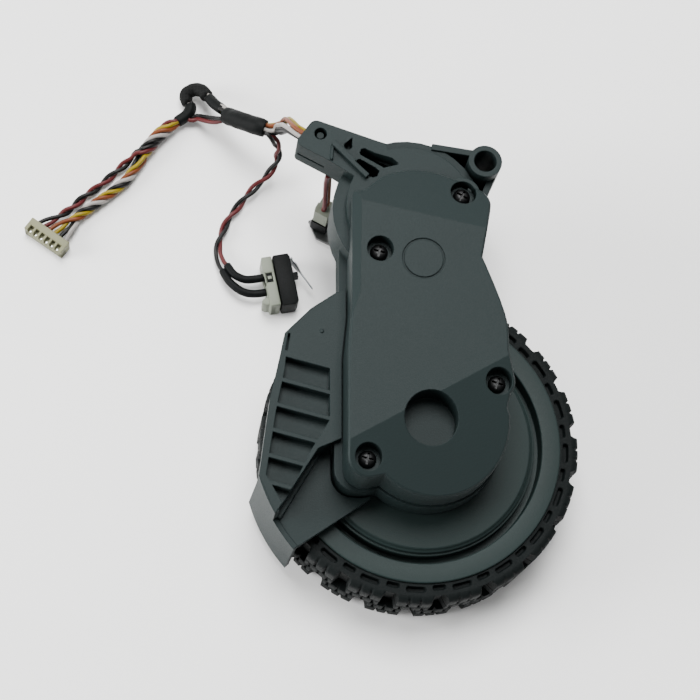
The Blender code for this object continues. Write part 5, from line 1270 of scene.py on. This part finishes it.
# Radius, height and fillet of each corner of the rim's section
RIM_CORNERS = (
    (2.6, 20.34, 0.0),
    (2.6, 6.2, 0.0),
    (1.3, 6.2, 0.0),
    (1.3, 5.0, 0.0),
    (4.4, 5.0, 0.1),
    (4.4, 2.7, 0.2),
    (6.0, 2.7, 0.2),
    (6.0, 17.94, 0.3),
    (23.7, 17.94, 0.3),
    (22.8, 12.8, 0.4),
    (28.5, 12.8, 0.4),
    (28.5, 2.7, 0.2),
    (29.7, 2.7, 0.1),
    (29.7, 0.6, 0.2),
    (30.7, 0.6, 0.3),
    (30.7, 19.0, 0.3),
    (26.5, 19.0, 0.35),
    (26.5, 15.0, 0.2),
    (24.9, 15.0, 0.2),
    (24.9, 18.5, 0.15),
    (24.35, 18.5, 0.1),
    (24.35, 19.5, 0.2),
    (23.9, 19.75, 0.15),
    (23.6, 20.34, 0.25),
)


def filleted(corners, steps=4):
    """A closed outline with each corner rounded by its own fillet."""
    outline = []
    count = len(corners)
    for index, (x, y, fillet) in enumerate(corners):
        here = Vector((x, y))
        before = Vector(corners[index - 1][:2]) - here
        after = Vector(corners[(index + 1) % count][:2]) - here
        reach = min(fillet, before.length * 0.45, after.length * 0.45)
        if reach == 0:
            outline.append(here)
            continue
        start = here + before.normalized() * reach
        stop = here + after.normalized() * reach
        for step in range(steps + 1):
            t = step / steps
            outline.append(start * (1 - t) ** 2 + here * 2 * t * (1 - t) + stop * t**2)
    return outline


def add_shape(work, shape, material):
    """Adds a bmesh to the work, smooth and with one of its materials, and frees it."""
    for face in shape.faces:
        face.material_index = material
        face.smooth = True
    part = bpy.data.meshes.new("part")
    shape.to_mesh(part)
    shape.free()
    work.from_mesh(part)
    bpy.data.meshes.remove(part)


def add_block(work, middle, size, radius=0.0, turn=0.0, material=0):
    """Adds a box with rounded edges, turned about Z."""
    box = bmesh.new()
    bmesh.ops.create_cube(box, size=1.0)
    bmesh.ops.scale(box, vec=[length * MM for length in size], verts=box.verts)
    if radius:
        edges = box.edges[:]
        bmesh.ops.bevel(box, geom=edges, offset=radius * MM, segments=3, profile=0.5, affect="EDGES")
    place = Matrix.Translation([value * MM for value in middle])
    box.transform(place @ Matrix.Rotation(turn, 4, "Z"))
    add_shape(work, box, material)


def add_plate(work, outline, low, high, radius=0.0):
    """Adds an upright plate over an outline, with its rims rounded."""
    plate = bmesh.new()
    foot, head = ([plate.verts.new((x * MM, y * MM, z * MM)) for x, y in outline] for z in (low, high))
    faces = [plate.faces.new(foot[::-1]), plate.faces.new(head)]
    for index in range(len(outline)):
        plate.faces.new((foot[index - 1], foot[index], head[index], head[index - 1]))
    bmesh.ops.recalc_face_normals(plate, faces=plate.faces)
    if radius:
        rims = [edge for face in faces for edge in face.edges]
        bmesh.ops.bevel(plate, geom=rims, offset=radius * MM, segments=2, profile=0.5, affect="EDGES")
    add_shape(work, plate, 0)


def node_span(name):
    """The lowest and the highest corner of the box round a CAD node, in millimetres."""
    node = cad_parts[name]
    points = [node.matrix_world @ vertex.co / MM for vertex in node.data.vertices]
    low = Vector([min(point[axis] for point in points) for axis in range(3)])
    high = Vector([max(point[axis] for point in points) for axis in range(3)])
    return low, high


def screw_seat(number):
    """The place under the middle of a cover screw's head, in millimetres."""
    low, high = node_span(f"cover_screw_{number}")
    return (low.x + high.x) / 2, (low.y + high.y) / 2, high.z - SCREW_HEAD_HEIGHT


class WHEELMODULE_OT_screws(bpy.types.Operator):
    """Makes the four black cross-head screws of the cover."""

    bl_idname = "wheelmodule.screws"
    bl_label = "Cover screws"

    def execute(self, context):
        places = [[value * MM for value in screw_seat(number)] for number in SCREW_NUMBERS]
        settings = {"Most turn": 1.5, "Seed": 3, "Finish": FINISHES["black_steel"]}
        mesh = repeated("cover_screws", screw_mesh(), places, settings)
        nodes = [f"cover_screw_{number}" for number in SCREW_NUMBERS]
        place_piece("cover_screws", mesh, ["black_steel"], "housing", nodes, SCREW_CREASE)
        return {"FINISHED"}


SCREW_NUMBERS = range(1, 5)
SCREW_HEAD_HEIGHT = 1.3
SCREW_STEPS = 32
# Radius and height above the seat of each corner of the screw's section
SCREW_CORNERS = (
    (0.0, 1.3),
    (0.8, 1.24),
    (1.35, 1.02),
    (1.7, 0.7),
    (1.86, 0.35),
    (1.9, 0.06),
    (1.84, 0.0),
    (0.9, 0.0),
    (0.9, -3.5),
    (0.35, -4.4),
    (0.0, -4.4),
)
CROSS_ARM = (2.5, 0.5, 1.4)
CROSS_FLOOR = 0.35


def screw_mesh():
    """A pan-head screw with a cross recess, its head's underside at z = 0."""
    work = bmesh.new()
    revolve(work, SCREW_CORNERS, SCREW_STEPS)
    screw = finished_mesh(work, "screw", 0.001 * MM)
    cutter = bmesh.new()
    for turn in (0.0, math.pi / 2):
        # One arm stands a hair higher, so that the two share no face
        middle = (0.0, 0.0, CROSS_FLOOR + CROSS_ARM[2] / 2 + turn * 0.01)
        add_block(cutter, middle, CROSS_ARM, turn=turn)
    return without(screw, finished_mesh(cutter, "cross"), "screw_with_cross")


def repeated(name, copied, places, settings):
    """One mesh of the copies of a mesh at these places, made by a Geometry Nodes tree."""
    template = bpy.data.objects.new("template", copied)
    points = bpy.data.meshes.new("places")
    points.from_pydata(places, [], [])
    base = bpy.data.objects.new(name, points)
    for made in (template, base):
        bpy.context.scene.collection.objects.link(made)
    add_tree(base, places_tree(), {"Copied": template, **settings})
    mesh = evaluated_mesh(base, name)
    for made in (base, template):
        bpy.data.objects.remove(made)
    return mesh


def places_tree():
    """Puts a copy of an object at each place, turned about Z at random."""
    tree, given, result = tree_with(
        "copies_at_places",
        [
            ("Copied", "NodeSocketObject"),
            ("Least turn", "NodeSocketFloat"),
            ("Most turn", "NodeSocketFloat"),
            ("Seed", "NodeSocketInt"),
            ("Finish", "NodeSocketMaterial"),
        ],
    )
    copied = add_node(tree, "GeometryNodeObjectInfo", Object=given.outputs["Copied"])
    chance = add_node(tree, "FunctionNodeRandomValue", {"data_type": "FLOAT"}, Seed=given.outputs["Seed"])
    tree.links.new(given.outputs["Least turn"], chance.inputs[2])
    tree.links.new(given.outputs["Most turn"], chance.inputs[3])
    turn = add_node(tree, "ShaderNodeCombineXYZ", Z=chance.outputs[1])
    points = add_node(tree, "GeometryNodeMeshToPoints", Mesh=given.outputs["Geometry"])
    copies = add_node(
        tree,
        "GeometryNodeInstanceOnPoints",
        Points=points.outputs[0],
        Instance=copied.outputs["Geometry"],
        Rotation=turn.outputs[0],
    )
    real = add_node(tree, "GeometryNodeRealizeInstances", Geometry=copies.outputs[0])
    paint = add_node(
        tree, "GeometryNodeSetMaterial", Geometry=real.outputs[0], Material=given.outputs["Finish"]
    )
    tree.links.new(paint.outputs[0], result.inputs["Geometry"])
    return tree


class WHEELMODULE_OT_connector(bpy.types.Operator):
    """Makes the six-way connector and its contacts."""

    bl_idname = "wheelmodule.connector"
    bl_label = "Connector"

    def execute(self, context):
        work = bmesh.new()
        for middle, size in CONNECTOR_BLOCKS:
            add_block(work, middle, size, 0.12)
        for number in range(CIRCUITS - 1):
            x = (circuit_offset(number) + CONNECTOR_PITCH / 2) / MM
            add_block(work, (x, *CHANNEL_WALL_AT), CHANNEL_WALL, 0.1)
        place = Matrix.Translation((*CONNECTOR_AT, 0)) @ Matrix.Rotation(CONNECTOR_TURN, 4, "Z")
        work.transform(place)
        mesh = finished_mesh(work, "connector_housing")
        nodes = ("connector",)
        place_piece("connector_housing", mesh, ["nylon_cream"], "housing", nodes, CREASE)
        make_contacts(place)
        return {"FINISHED"}


# Middle and size of each block of the connector, in its own frame
CONNECTOR_BLOCKS = (
    ((0.0, 0.75, 1.9), (10.4, 1.7, 3.8)),
    ((0.0, -0.75, 1.2), (10.4, 1.7, 2.4)),
    ((-4.75, -0.75, 1.9), (0.9, 1.7, 3.8)),
    ((4.75, -0.75, 1.9), (0.9, 1.7, 3.8)),
)
CHANNEL_WALL_AT = (-0.75, 2.9)
CHANNEL_WALL = (0.6, 1.6, 1.7)
CONTACT_AT = (0.0, -1.2, 2.4)
CONTACT = (0.4, 0.5, 0.5)


def make_contacts(place):
    """The six tin-plated contacts, one in each channel of the connector."""
    work = bmesh.new()
    add_block(work, CONTACT_AT, CONTACT, 0.08)
    mesh = finished_mesh(work, "contact")
    places = [(circuit_offset(number), 0, 0) for number in range(CIRCUITS)]
    row = repeated("connector_contacts", mesh, places, {"Finish": FINISHES["tin"]})
    row.transform(place)
    place_piece("connector_contacts", row, ["tin"], "housing")


class WHEELMODULE_OT_switch(bpy.types.Operator):
    """Makes the drop switch: its black body, white holder and sprung lever."""

    bl_idname = "wheelmodule.switch"
    bl_label = "Drop switch"

    def execute(self, context):
        make_switch_body()
        make_switch_holder()
        make_switch_terminals()
        make_lever()
        return {"FINISHED"}


def switch_frame():
    """The switch's own frame: x along its body, y out of its lever side."""
    return Matrix.Translation((*SWITCH_AT, 0)) @ Matrix.Rotation(SWITCH_TURN, 4, "Z")


def make_switch_body():
    """The black body: a plain box with two notched corners."""
    work = bmesh.new()
    add_plate(work, SWITCH_OUTLINE, *SWITCH_SPAN, 0.15)
    work.transform(switch_frame())
    mesh = finished_mesh(work, "switch_case")
    nodes = ("switch_body",)
    place_piece("switch_case", mesh, ["nylon_black"], "housing", nodes, CREASE)


SWITCH_OUTLINE = (
    (-6.2, -1.7),
    (-5.9, -2.0),
    (5.9, -2.0),
    (6.2, -1.7),
    (6.2, 1.2),
    (5.4, 2.0),
    (-5.4, 2.0),
    (-6.2, 1.6),
)
SWITCH_SPAN = (0.2, 6.2)
# Middle and size of each block of the switch's holder, in the switch's frame
HOLDER_BLOCKS = (
    ((-4.0, -3.5, 3.35), (4.0, 2.4, 6.7)),
    ((3.1, -3.5, 3.35), (5.8, 2.4, 6.7)),
    ((-0.8, -2.6, 3.35), (3.6, 0.6, 6.6)),
    ((-0.8, -4.5, 1.2), (3.6, 0.5, 2.4)),
    ((-0.8, -4.5, 6.2), (3.6, 0.5, 0.8)),
    ((-0.8, -3.5, 0.6), (3.6, 2.3, 1.2)),
)
LUG_OUTLINE = (
    (3.2, -4.2),
    (3.3, -5.3),
    (3.9, -6.2),
    (4.7, -6.3),
    (5.2, -5.7),
    (5.3, -4.9),
    (6.0, -4.4),
    (6.0, -3.4),
    (3.2, -3.2),
)
LUG_SPAN = (0.4, 5.6)
# The white tab that shows in the holder's window, and a black block in the window that is painted shade: it
# stands for the dark inside of the opening
WINDOW_TAB = ((-0.9, -3.6, 6.0), (0.8, 0.9, 1.2))
WINDOW_SHADE_BLOCK = ((-0.9, -3.55, 5.3), (2.1, 1.8, 2.2))


def make_switch_holder():
    """The white holder: two cheeks, a window between them, and a rounded lug."""
    work = bmesh.new()
    for middle, size in HOLDER_BLOCKS:
        add_block(work, middle, size, 0.3)
    add_plate(work, LUG_OUTLINE, *LUG_SPAN, 0.25)
    add_block(work, *WINDOW_TAB, 0.1)
    # The black block in the window is painted shade, the dark inside of the opening
    add_block(work, *WINDOW_SHADE_BLOCK, 0.1, material=1)
    work.transform(switch_frame())
    mesh = finished_mesh(work, "switch_bracket")
    finishes = ["nylon_white", "nylon_black"]
    place_piece("switch_bracket", mesh, finishes, "housing", ("switch_holder",), CREASE)


BLADE = (0.5, 3.0, 1.1)


def make_switch_terminals():
    """The two brass blades under the shrunk sleeves."""
    work = bmesh.new()
    nodes = ("switch_terminal_1", "switch_terminal_2")
    for node in nodes:
        low, high = node_span(node)
        add_block(work, (low + high) / 2, BLADE, 0.08, SWITCH_TURN)
    mesh = finished_mesh(work, "switch_blades")
    place_piece("switch_blades", mesh, ["brass"], "housing", nodes)


LEVER_HINGE = (-27.768 * MM, 47.087 * MM, 3.2 * MM)
LEVER_OPENING = math.radians(24)
LEVER_THICKNESS = 0.3
# Distance from the hinge and half height of the lever's blade
LEVER_SHAPE = ((0.0, 1.5), (0.4, 1.7), (2.4, 1.6), (3.6, 0.5), (4.4, 0.3), (8.6, 0.2), (8.8, 0.1))


def make_lever():
    """The lever: a broad root that narrows to a thin tip."""
    work = bmesh.new()
    outline = [(x, -z) for x, z in LEVER_SHAPE] + list(LEVER_SHAPE[::-1])
    add_plate(work, outline, -LEVER_THICKNESS / 2, LEVER_THICKNESS / 2, 0.08)
    stand = Matrix.Rotation(math.pi / 2, 4, "X")
    turn = Matrix.Rotation(SWITCH_TURN + LEVER_OPENING, 4, "Z")
    work.transform(Matrix.Translation(LEVER_HINGE) @ turn @ stand)
    mesh = finished_mesh(work, "lever_blade")
    place_piece("lever_blade", mesh, ["strip"], "lever", ("switch_lever",), CREASE)


class WHEELMODULE_OT_tyre(bpy.types.Operator):
    """Makes the tyre from one lug's share of it, repeated round the wheel."""

    bl_idname = "wheelmodule.tyre"
    bl_label = "Tyre"

    def execute(self, context):
        lugs = sizes().lug_count
        segment = bpy.data.objects.new("tread_share", tread_share(lugs))
        context.scene.collection.objects.link(segment)
        add_tree(segment, ring_tree(), {"Copies": lugs, "Start": LUG_PHASE, "Finish": FINISHES["rubber"]})
        mesh = evaluated_mesh(segment, "tyre_tread")
        bpy.data.objects.remove(segment)
        place_piece("tyre_tread", mesh, ["rubber"], "wheel", ("tyre",), TYRE_CREASE)
        return {"FINISHED"}


def add_tree(made, tree, values):
    """Gives an object a Geometry Nodes tree with these named inputs."""
    modifier = made.modifiers.new(tree.name, "NODES")
    modifier.node_group = tree
    for item in tree.interface.items_tree:
        if item.item_type == "SOCKET" and item.in_out == "INPUT" and item.name in values:
            modifier[item.identifier] = values[item.name]


def evaluated_mesh(made, name):
    """The plain mesh that an object's modifiers make."""
    graph = bpy.context.evaluated_depsgraph_get()
    mesh = bpy.data.meshes.new_from_object(made.evaluated_get(graph))
    mesh.name = name
    made.modifiers.clear()
    return mesh


def tree_with(name, sockets):
    """A Geometry Nodes tree with a geometry going in and out, and these named inputs."""
    tree = bpy.data.node_groups.new(name, "GeometryNodeTree")
    tree.interface.new_socket("Geometry", in_out="INPUT", socket_type="NodeSocketGeometry")
    tree.interface.new_socket("Geometry", in_out="OUTPUT", socket_type="NodeSocketGeometry")
    for label, kind in sockets:
        tree.interface.new_socket(label, in_out="INPUT", socket_type=kind)
    given = tree.nodes.new("NodeGroupInput")
    result = tree.nodes.new("NodeGroupOutput")
    return tree, given, result


def ring_tree():
    """Repeats a share of a ring round the Z axis and welds the shares together."""
    tree, given, result = tree_with(
        "repeat_round_axis",
        [("Copies", "NodeSocketInt"), ("Start", "NodeSocketFloat"), ("Finish", "NodeSocketMaterial")],
    )
    centre = add_node(tree, "GeometryNodePoints", Count=given.outputs["Copies"])
    number = add_node(tree, "GeometryNodeInputIndex")
    step = add_node(tree, "ShaderNodeMath", {"operation": "DIVIDE", 0: math.tau})
    tree.links.new(given.outputs["Copies"], step.inputs[1])
    angle = add_node(tree, "ShaderNodeMath", {"operation": "MULTIPLY_ADD"})
    tree.links.new(number.outputs[0], angle.inputs[0])
    tree.links.new(step.outputs[0], angle.inputs[1])
    tree.links.new(given.outputs["Start"], angle.inputs[2])
    turn = add_node(tree, "ShaderNodeCombineXYZ", Z=angle.outputs[0])
    copies = add_node(
        tree,
        "GeometryNodeInstanceOnPoints",
        Points=centre.outputs[0],
        Instance=given.outputs["Geometry"],
        Rotation=turn.outputs[0],
    )
    real = add_node(tree, "GeometryNodeRealizeInstances", Geometry=copies.outputs[0])
    weld = add_node(tree, "GeometryNodeMergeByDistance", {"Distance": 0.01 * MM}, Geometry=real.outputs[0])
    paint = add_node(
        tree, "GeometryNodeSetMaterial", Geometry=weld.outputs[0], Material=given.outputs["Finish"]
    )
    tree.links.new(paint.outputs[0], result.inputs["Geometry"])
    return tree


# One lug's share of the tyre is cut into cells round the wheel, and its tread into rows up it
LUG_HALF_CELLS = 18
LUG_RAMP_CELLS = 4
BLOCK_CELLS = 12
GROOVE_HALF_CELLS = 0.6
GROOVE_RAMP_CELLS = 0.8
BLOCK_GROOVE = 0.65 * MM
VALLEY_DEPTH = 0.8 * BLOCK_GROOVE
ROW_HEIGHTS = (1.3, 5.1, 9.15, 13.2, 17.0)
ROW_EDGE = 0.28 * MM
ROW_GAP = 0.4 * MM
CHAMFER = 0.12 * MM
# Half length, radius and half width of the pits in the sidewall
LONG_PIT = (1.5, 32.0, 0.52)
SHORT_PIT = (0.95, 31.65, 0.42)
PIT_DEPTH = 1.3 * MM
PIT_WALL = 0.28 * MM
LOWER_PIT_SHARE = 0.6
LOWER_WALL_STEPS = 8
UPPER_WALL_STEPS = 16
SHOULDER_RISE = 0.3 * MM
# How far above the seat the lower and the upper sidewall start
LOWER_WALL_GAP = 0.15 * MM
UPPER_WALL_GAP = 0.12 * MM


def groove_share(cell, centres):
    """How deep a groove between the blocks is at a cell, from 0 to 1."""
    nearest = min(abs(cell - centre) for centre in centres)
    return clamped((GROOVE_HALF_CELLS + GROOVE_RAMP_CELLS - nearest) / GROOVE_RAMP_CELLS)


def tread_height(cell, row):
    """The tread's radius at a cell round the share, on one of the four rows from the floor up."""
    half = SEGMENT_CELLS // 2
    shift = 0 if row >= 2 else half
    around = (cell - shift + half) % SEGMENT_CELLS - half
    rise = clamped((LUG_HALF_CELLS + LUG_RAMP_CELLS - abs(around)) / LUG_RAMP_CELLS)
    radius = TYRE_RADIUS - sizes().lug_depth * (1 - rise)
    half_block = BLOCK_CELLS // 2
    outer_row = row in (0, 3)
    centres = (-half_block, half_block) if outer_row else (-BLOCK_CELLS, 0, BLOCK_CELLS)
    return radius - BLOCK_GROOVE * rise * groove_share(around, centres)


def pit_distance(arc, radius, pit):
    """How far a place on the sidewall is from the edge of a pit with round ends."""
    half_length, middle, half_width = (value * MM for value in pit)
    return math.hypot(max(0.0, abs(arc) - half_length), radius - middle) - half_width


def pit_depth(cell, radius):
    """How deep the pits in the sidewall are: a long one under each lug, a short one under each gap."""
    cell_arc = math.tau / sizes().lug_count / SEGMENT_CELLS * radius
    from_lug = pit_distance(cell * cell_arc, radius, LONG_PIT)
    from_gap = pit_distance((abs(cell) - SEGMENT_CELLS / 2) * cell_arc, radius, SHORT_PIT)
    return PIT_DEPTH * settled(0.5 - min(from_lug, from_gap) / PIT_WALL)


def sidewall(cell, start, stop, steps):
    """The radii of steps across a sidewall, and the depth of the pits there."""
    radii = [start + (stop - start) * step / steps for step in range(steps + 1)]
    return [(radius, pit_depth(cell, radius)) for radius in radii]


def lowered(radius, drop):
    """The radius less a drop where it is on a lug, and as it is between the lugs."""
    return radius - drop if radius > shoulder_radius() else radius


def shoulder_radius():
    """Where the lugs rise from the tyre's carcass."""
    return TYRE_RADIUS - sizes().lug_depth + SHOULDER_RISE


def row_skin(cell, row):
    """Radius and height of the tread's skin across one row of blocks."""
    low, high = ROW_HEIGHTS[row] * MM, ROW_HEIGHTS[row + 1] * MM
    radius = tread_height(cell, row)
    return [
        (lowered(radius, CHAMFER), low if row else 0.9 * MM),
        (radius, low + ROW_EDGE),
        (radius, (low + high) / 2),
        (radius, high - ROW_EDGE - ROW_GAP),
    ]


def valley_skin(cell, row):
    """Radius and height of the skin in the valley above a row of blocks."""
    high = ROW_HEIGHTS[row + 1] * MM
    radius, following = tread_height(cell, row), tread_height(cell, row + 1)
    valley = min(lowered(radius, VALLEY_DEPTH), lowered(following, VALLEY_DEPTH))
    return [
        (lowered(radius, CHAMFER), high - ROW_GAP),
        (valley, high - 0.3 * MM),
        (valley, high - 0.08 * MM),
    ]


def tread_profile(cell):
    """Radius and height of the tyre's skin at a cell, from the seat below round to the seat above."""
    shoulder = shoulder_radius()
    lowest, highest = tread_height(cell, 0), tread_height(cell, 3)
    lower_wall = sidewall(cell, TYRE_SEAT + LOWER_WALL_GAP, shoulder, LOWER_WALL_STEPS)
    upper_end = shoulder + SHOULDER_RISE
    upper_wall = sidewall(cell, TYRE_SEAT + UPPER_WALL_GAP, upper_end, UPPER_WALL_STEPS)
    tread = [((shoulder + lowest) / 2 + 0.2 * MM, 0.45 * MM), *row_skin(cell, 0)]
    for row in (1, 2, 3):
        tread += valley_skin(cell, row - 1) + row_skin(cell, row)
    tread.append((lowered(highest, 0.15 * MM), TYRE_WIDTH - 0.75 * MM))
    tread.append(((shoulder + highest) / 2 + 0.25 * MM, TYRE_WIDTH - 0.25 * MM))
    return [
        (TYRE_SEAT, 0.0),
        *((radius, LOWER_PIT_SHARE * depth) for radius, depth in lower_wall),
        *tread,
        *((radius, TYRE_WIDTH - depth) for radius, depth in reversed(upper_wall)),
        (TYRE_SEAT, TYRE_WIDTH),
    ]


def tread_share(lugs):
    """One lug's share of the tyre, open at its two cut faces."""
    half = SEGMENT_CELLS // 2
    rings = []
    for cell in range(-half, half + 1):
        angle = math.tau / lugs * cell / SEGMENT_CELLS
        x, y = math.cos(angle), math.sin(angle)
        rings.append([(radius * x, radius * y, height) for radius, height in tread_profile(cell)])
    work = bmesh.new()
    rings_to_mesh(work, rings, "open")
    mesh = bpy.data.meshes.new("tread_share")
    work.to_mesh(mesh)
    work.free()
    return mesh


class WHEELMODULE_PT_panel(bpy.types.Panel):
    """Lists the settings and the operators."""

    bl_idname = "WHEELMODULE_PT_panel"
    bl_label = "Wheel module"
    bl_space_type = "VIEW_3D"
    bl_region_type = "UI"
    bl_category = "Wheel module"

    def draw(self, context):
        layout = self.layout
        for group in (sizes(), colours(), context.scene.module_stage):
            for name in group.__annotations__:
                layout.prop(group, name)
        for kind in OPERATORS:
            layout.operator(kind.bl_idname)


OPERATORS = (
    WHEELMODULE_OT_finishes,
    WHEELMODULE_OT_stage,
    WHEELMODULE_OT_sleeves,
    WHEELMODULE_OT_mouldings,
    WHEELMODULE_OT_rim,
    WHEELMODULE_OT_tyre,
    WHEELMODULE_OT_screws,
    WHEELMODULE_OT_connector,
    WHEELMODULE_OT_switch,
    WHEELMODULE_OT_harness,
)
CLASSES = (ModuleSizes, ModuleColours, StageSettings, *OPERATORS, WHEELMODULE_PT_panel)


def register():
    for kind in CLASSES:
        bpy.utils.register_class(kind)
    bpy.types.Scene.module_sizes = PointerProperty(type=ModuleSizes)
    bpy.types.Scene.module_colours = PointerProperty(type=ModuleColours)
    bpy.types.Scene.module_stage = PointerProperty(type=StageSettings)


def unregister():
    del bpy.types.Scene.module_stage
    del bpy.types.Scene.module_colours
    del bpy.types.Scene.module_sizes
    for kind in reversed(CLASSES):
        bpy.utils.unregister_class(kind)


def main():
    """Makes the whole object."""
    register()
    bpy.ops.wheelmodule.finishes()
    bpy.ops.wheelmodule.stage()
    bpy.ops.wheelmodule.sleeves()
    bpy.ops.wheelmodule.mouldings()
    bpy.ops.wheelmodule.rim()
    bpy.ops.wheelmodule.tyre()
    bpy.ops.wheelmodule.screws()
    bpy.ops.wheelmodule.connector()
    bpy.ops.wheelmodule.switch()
    bpy.ops.wheelmodule.harness()


if __name__ == "__main__":
    main()
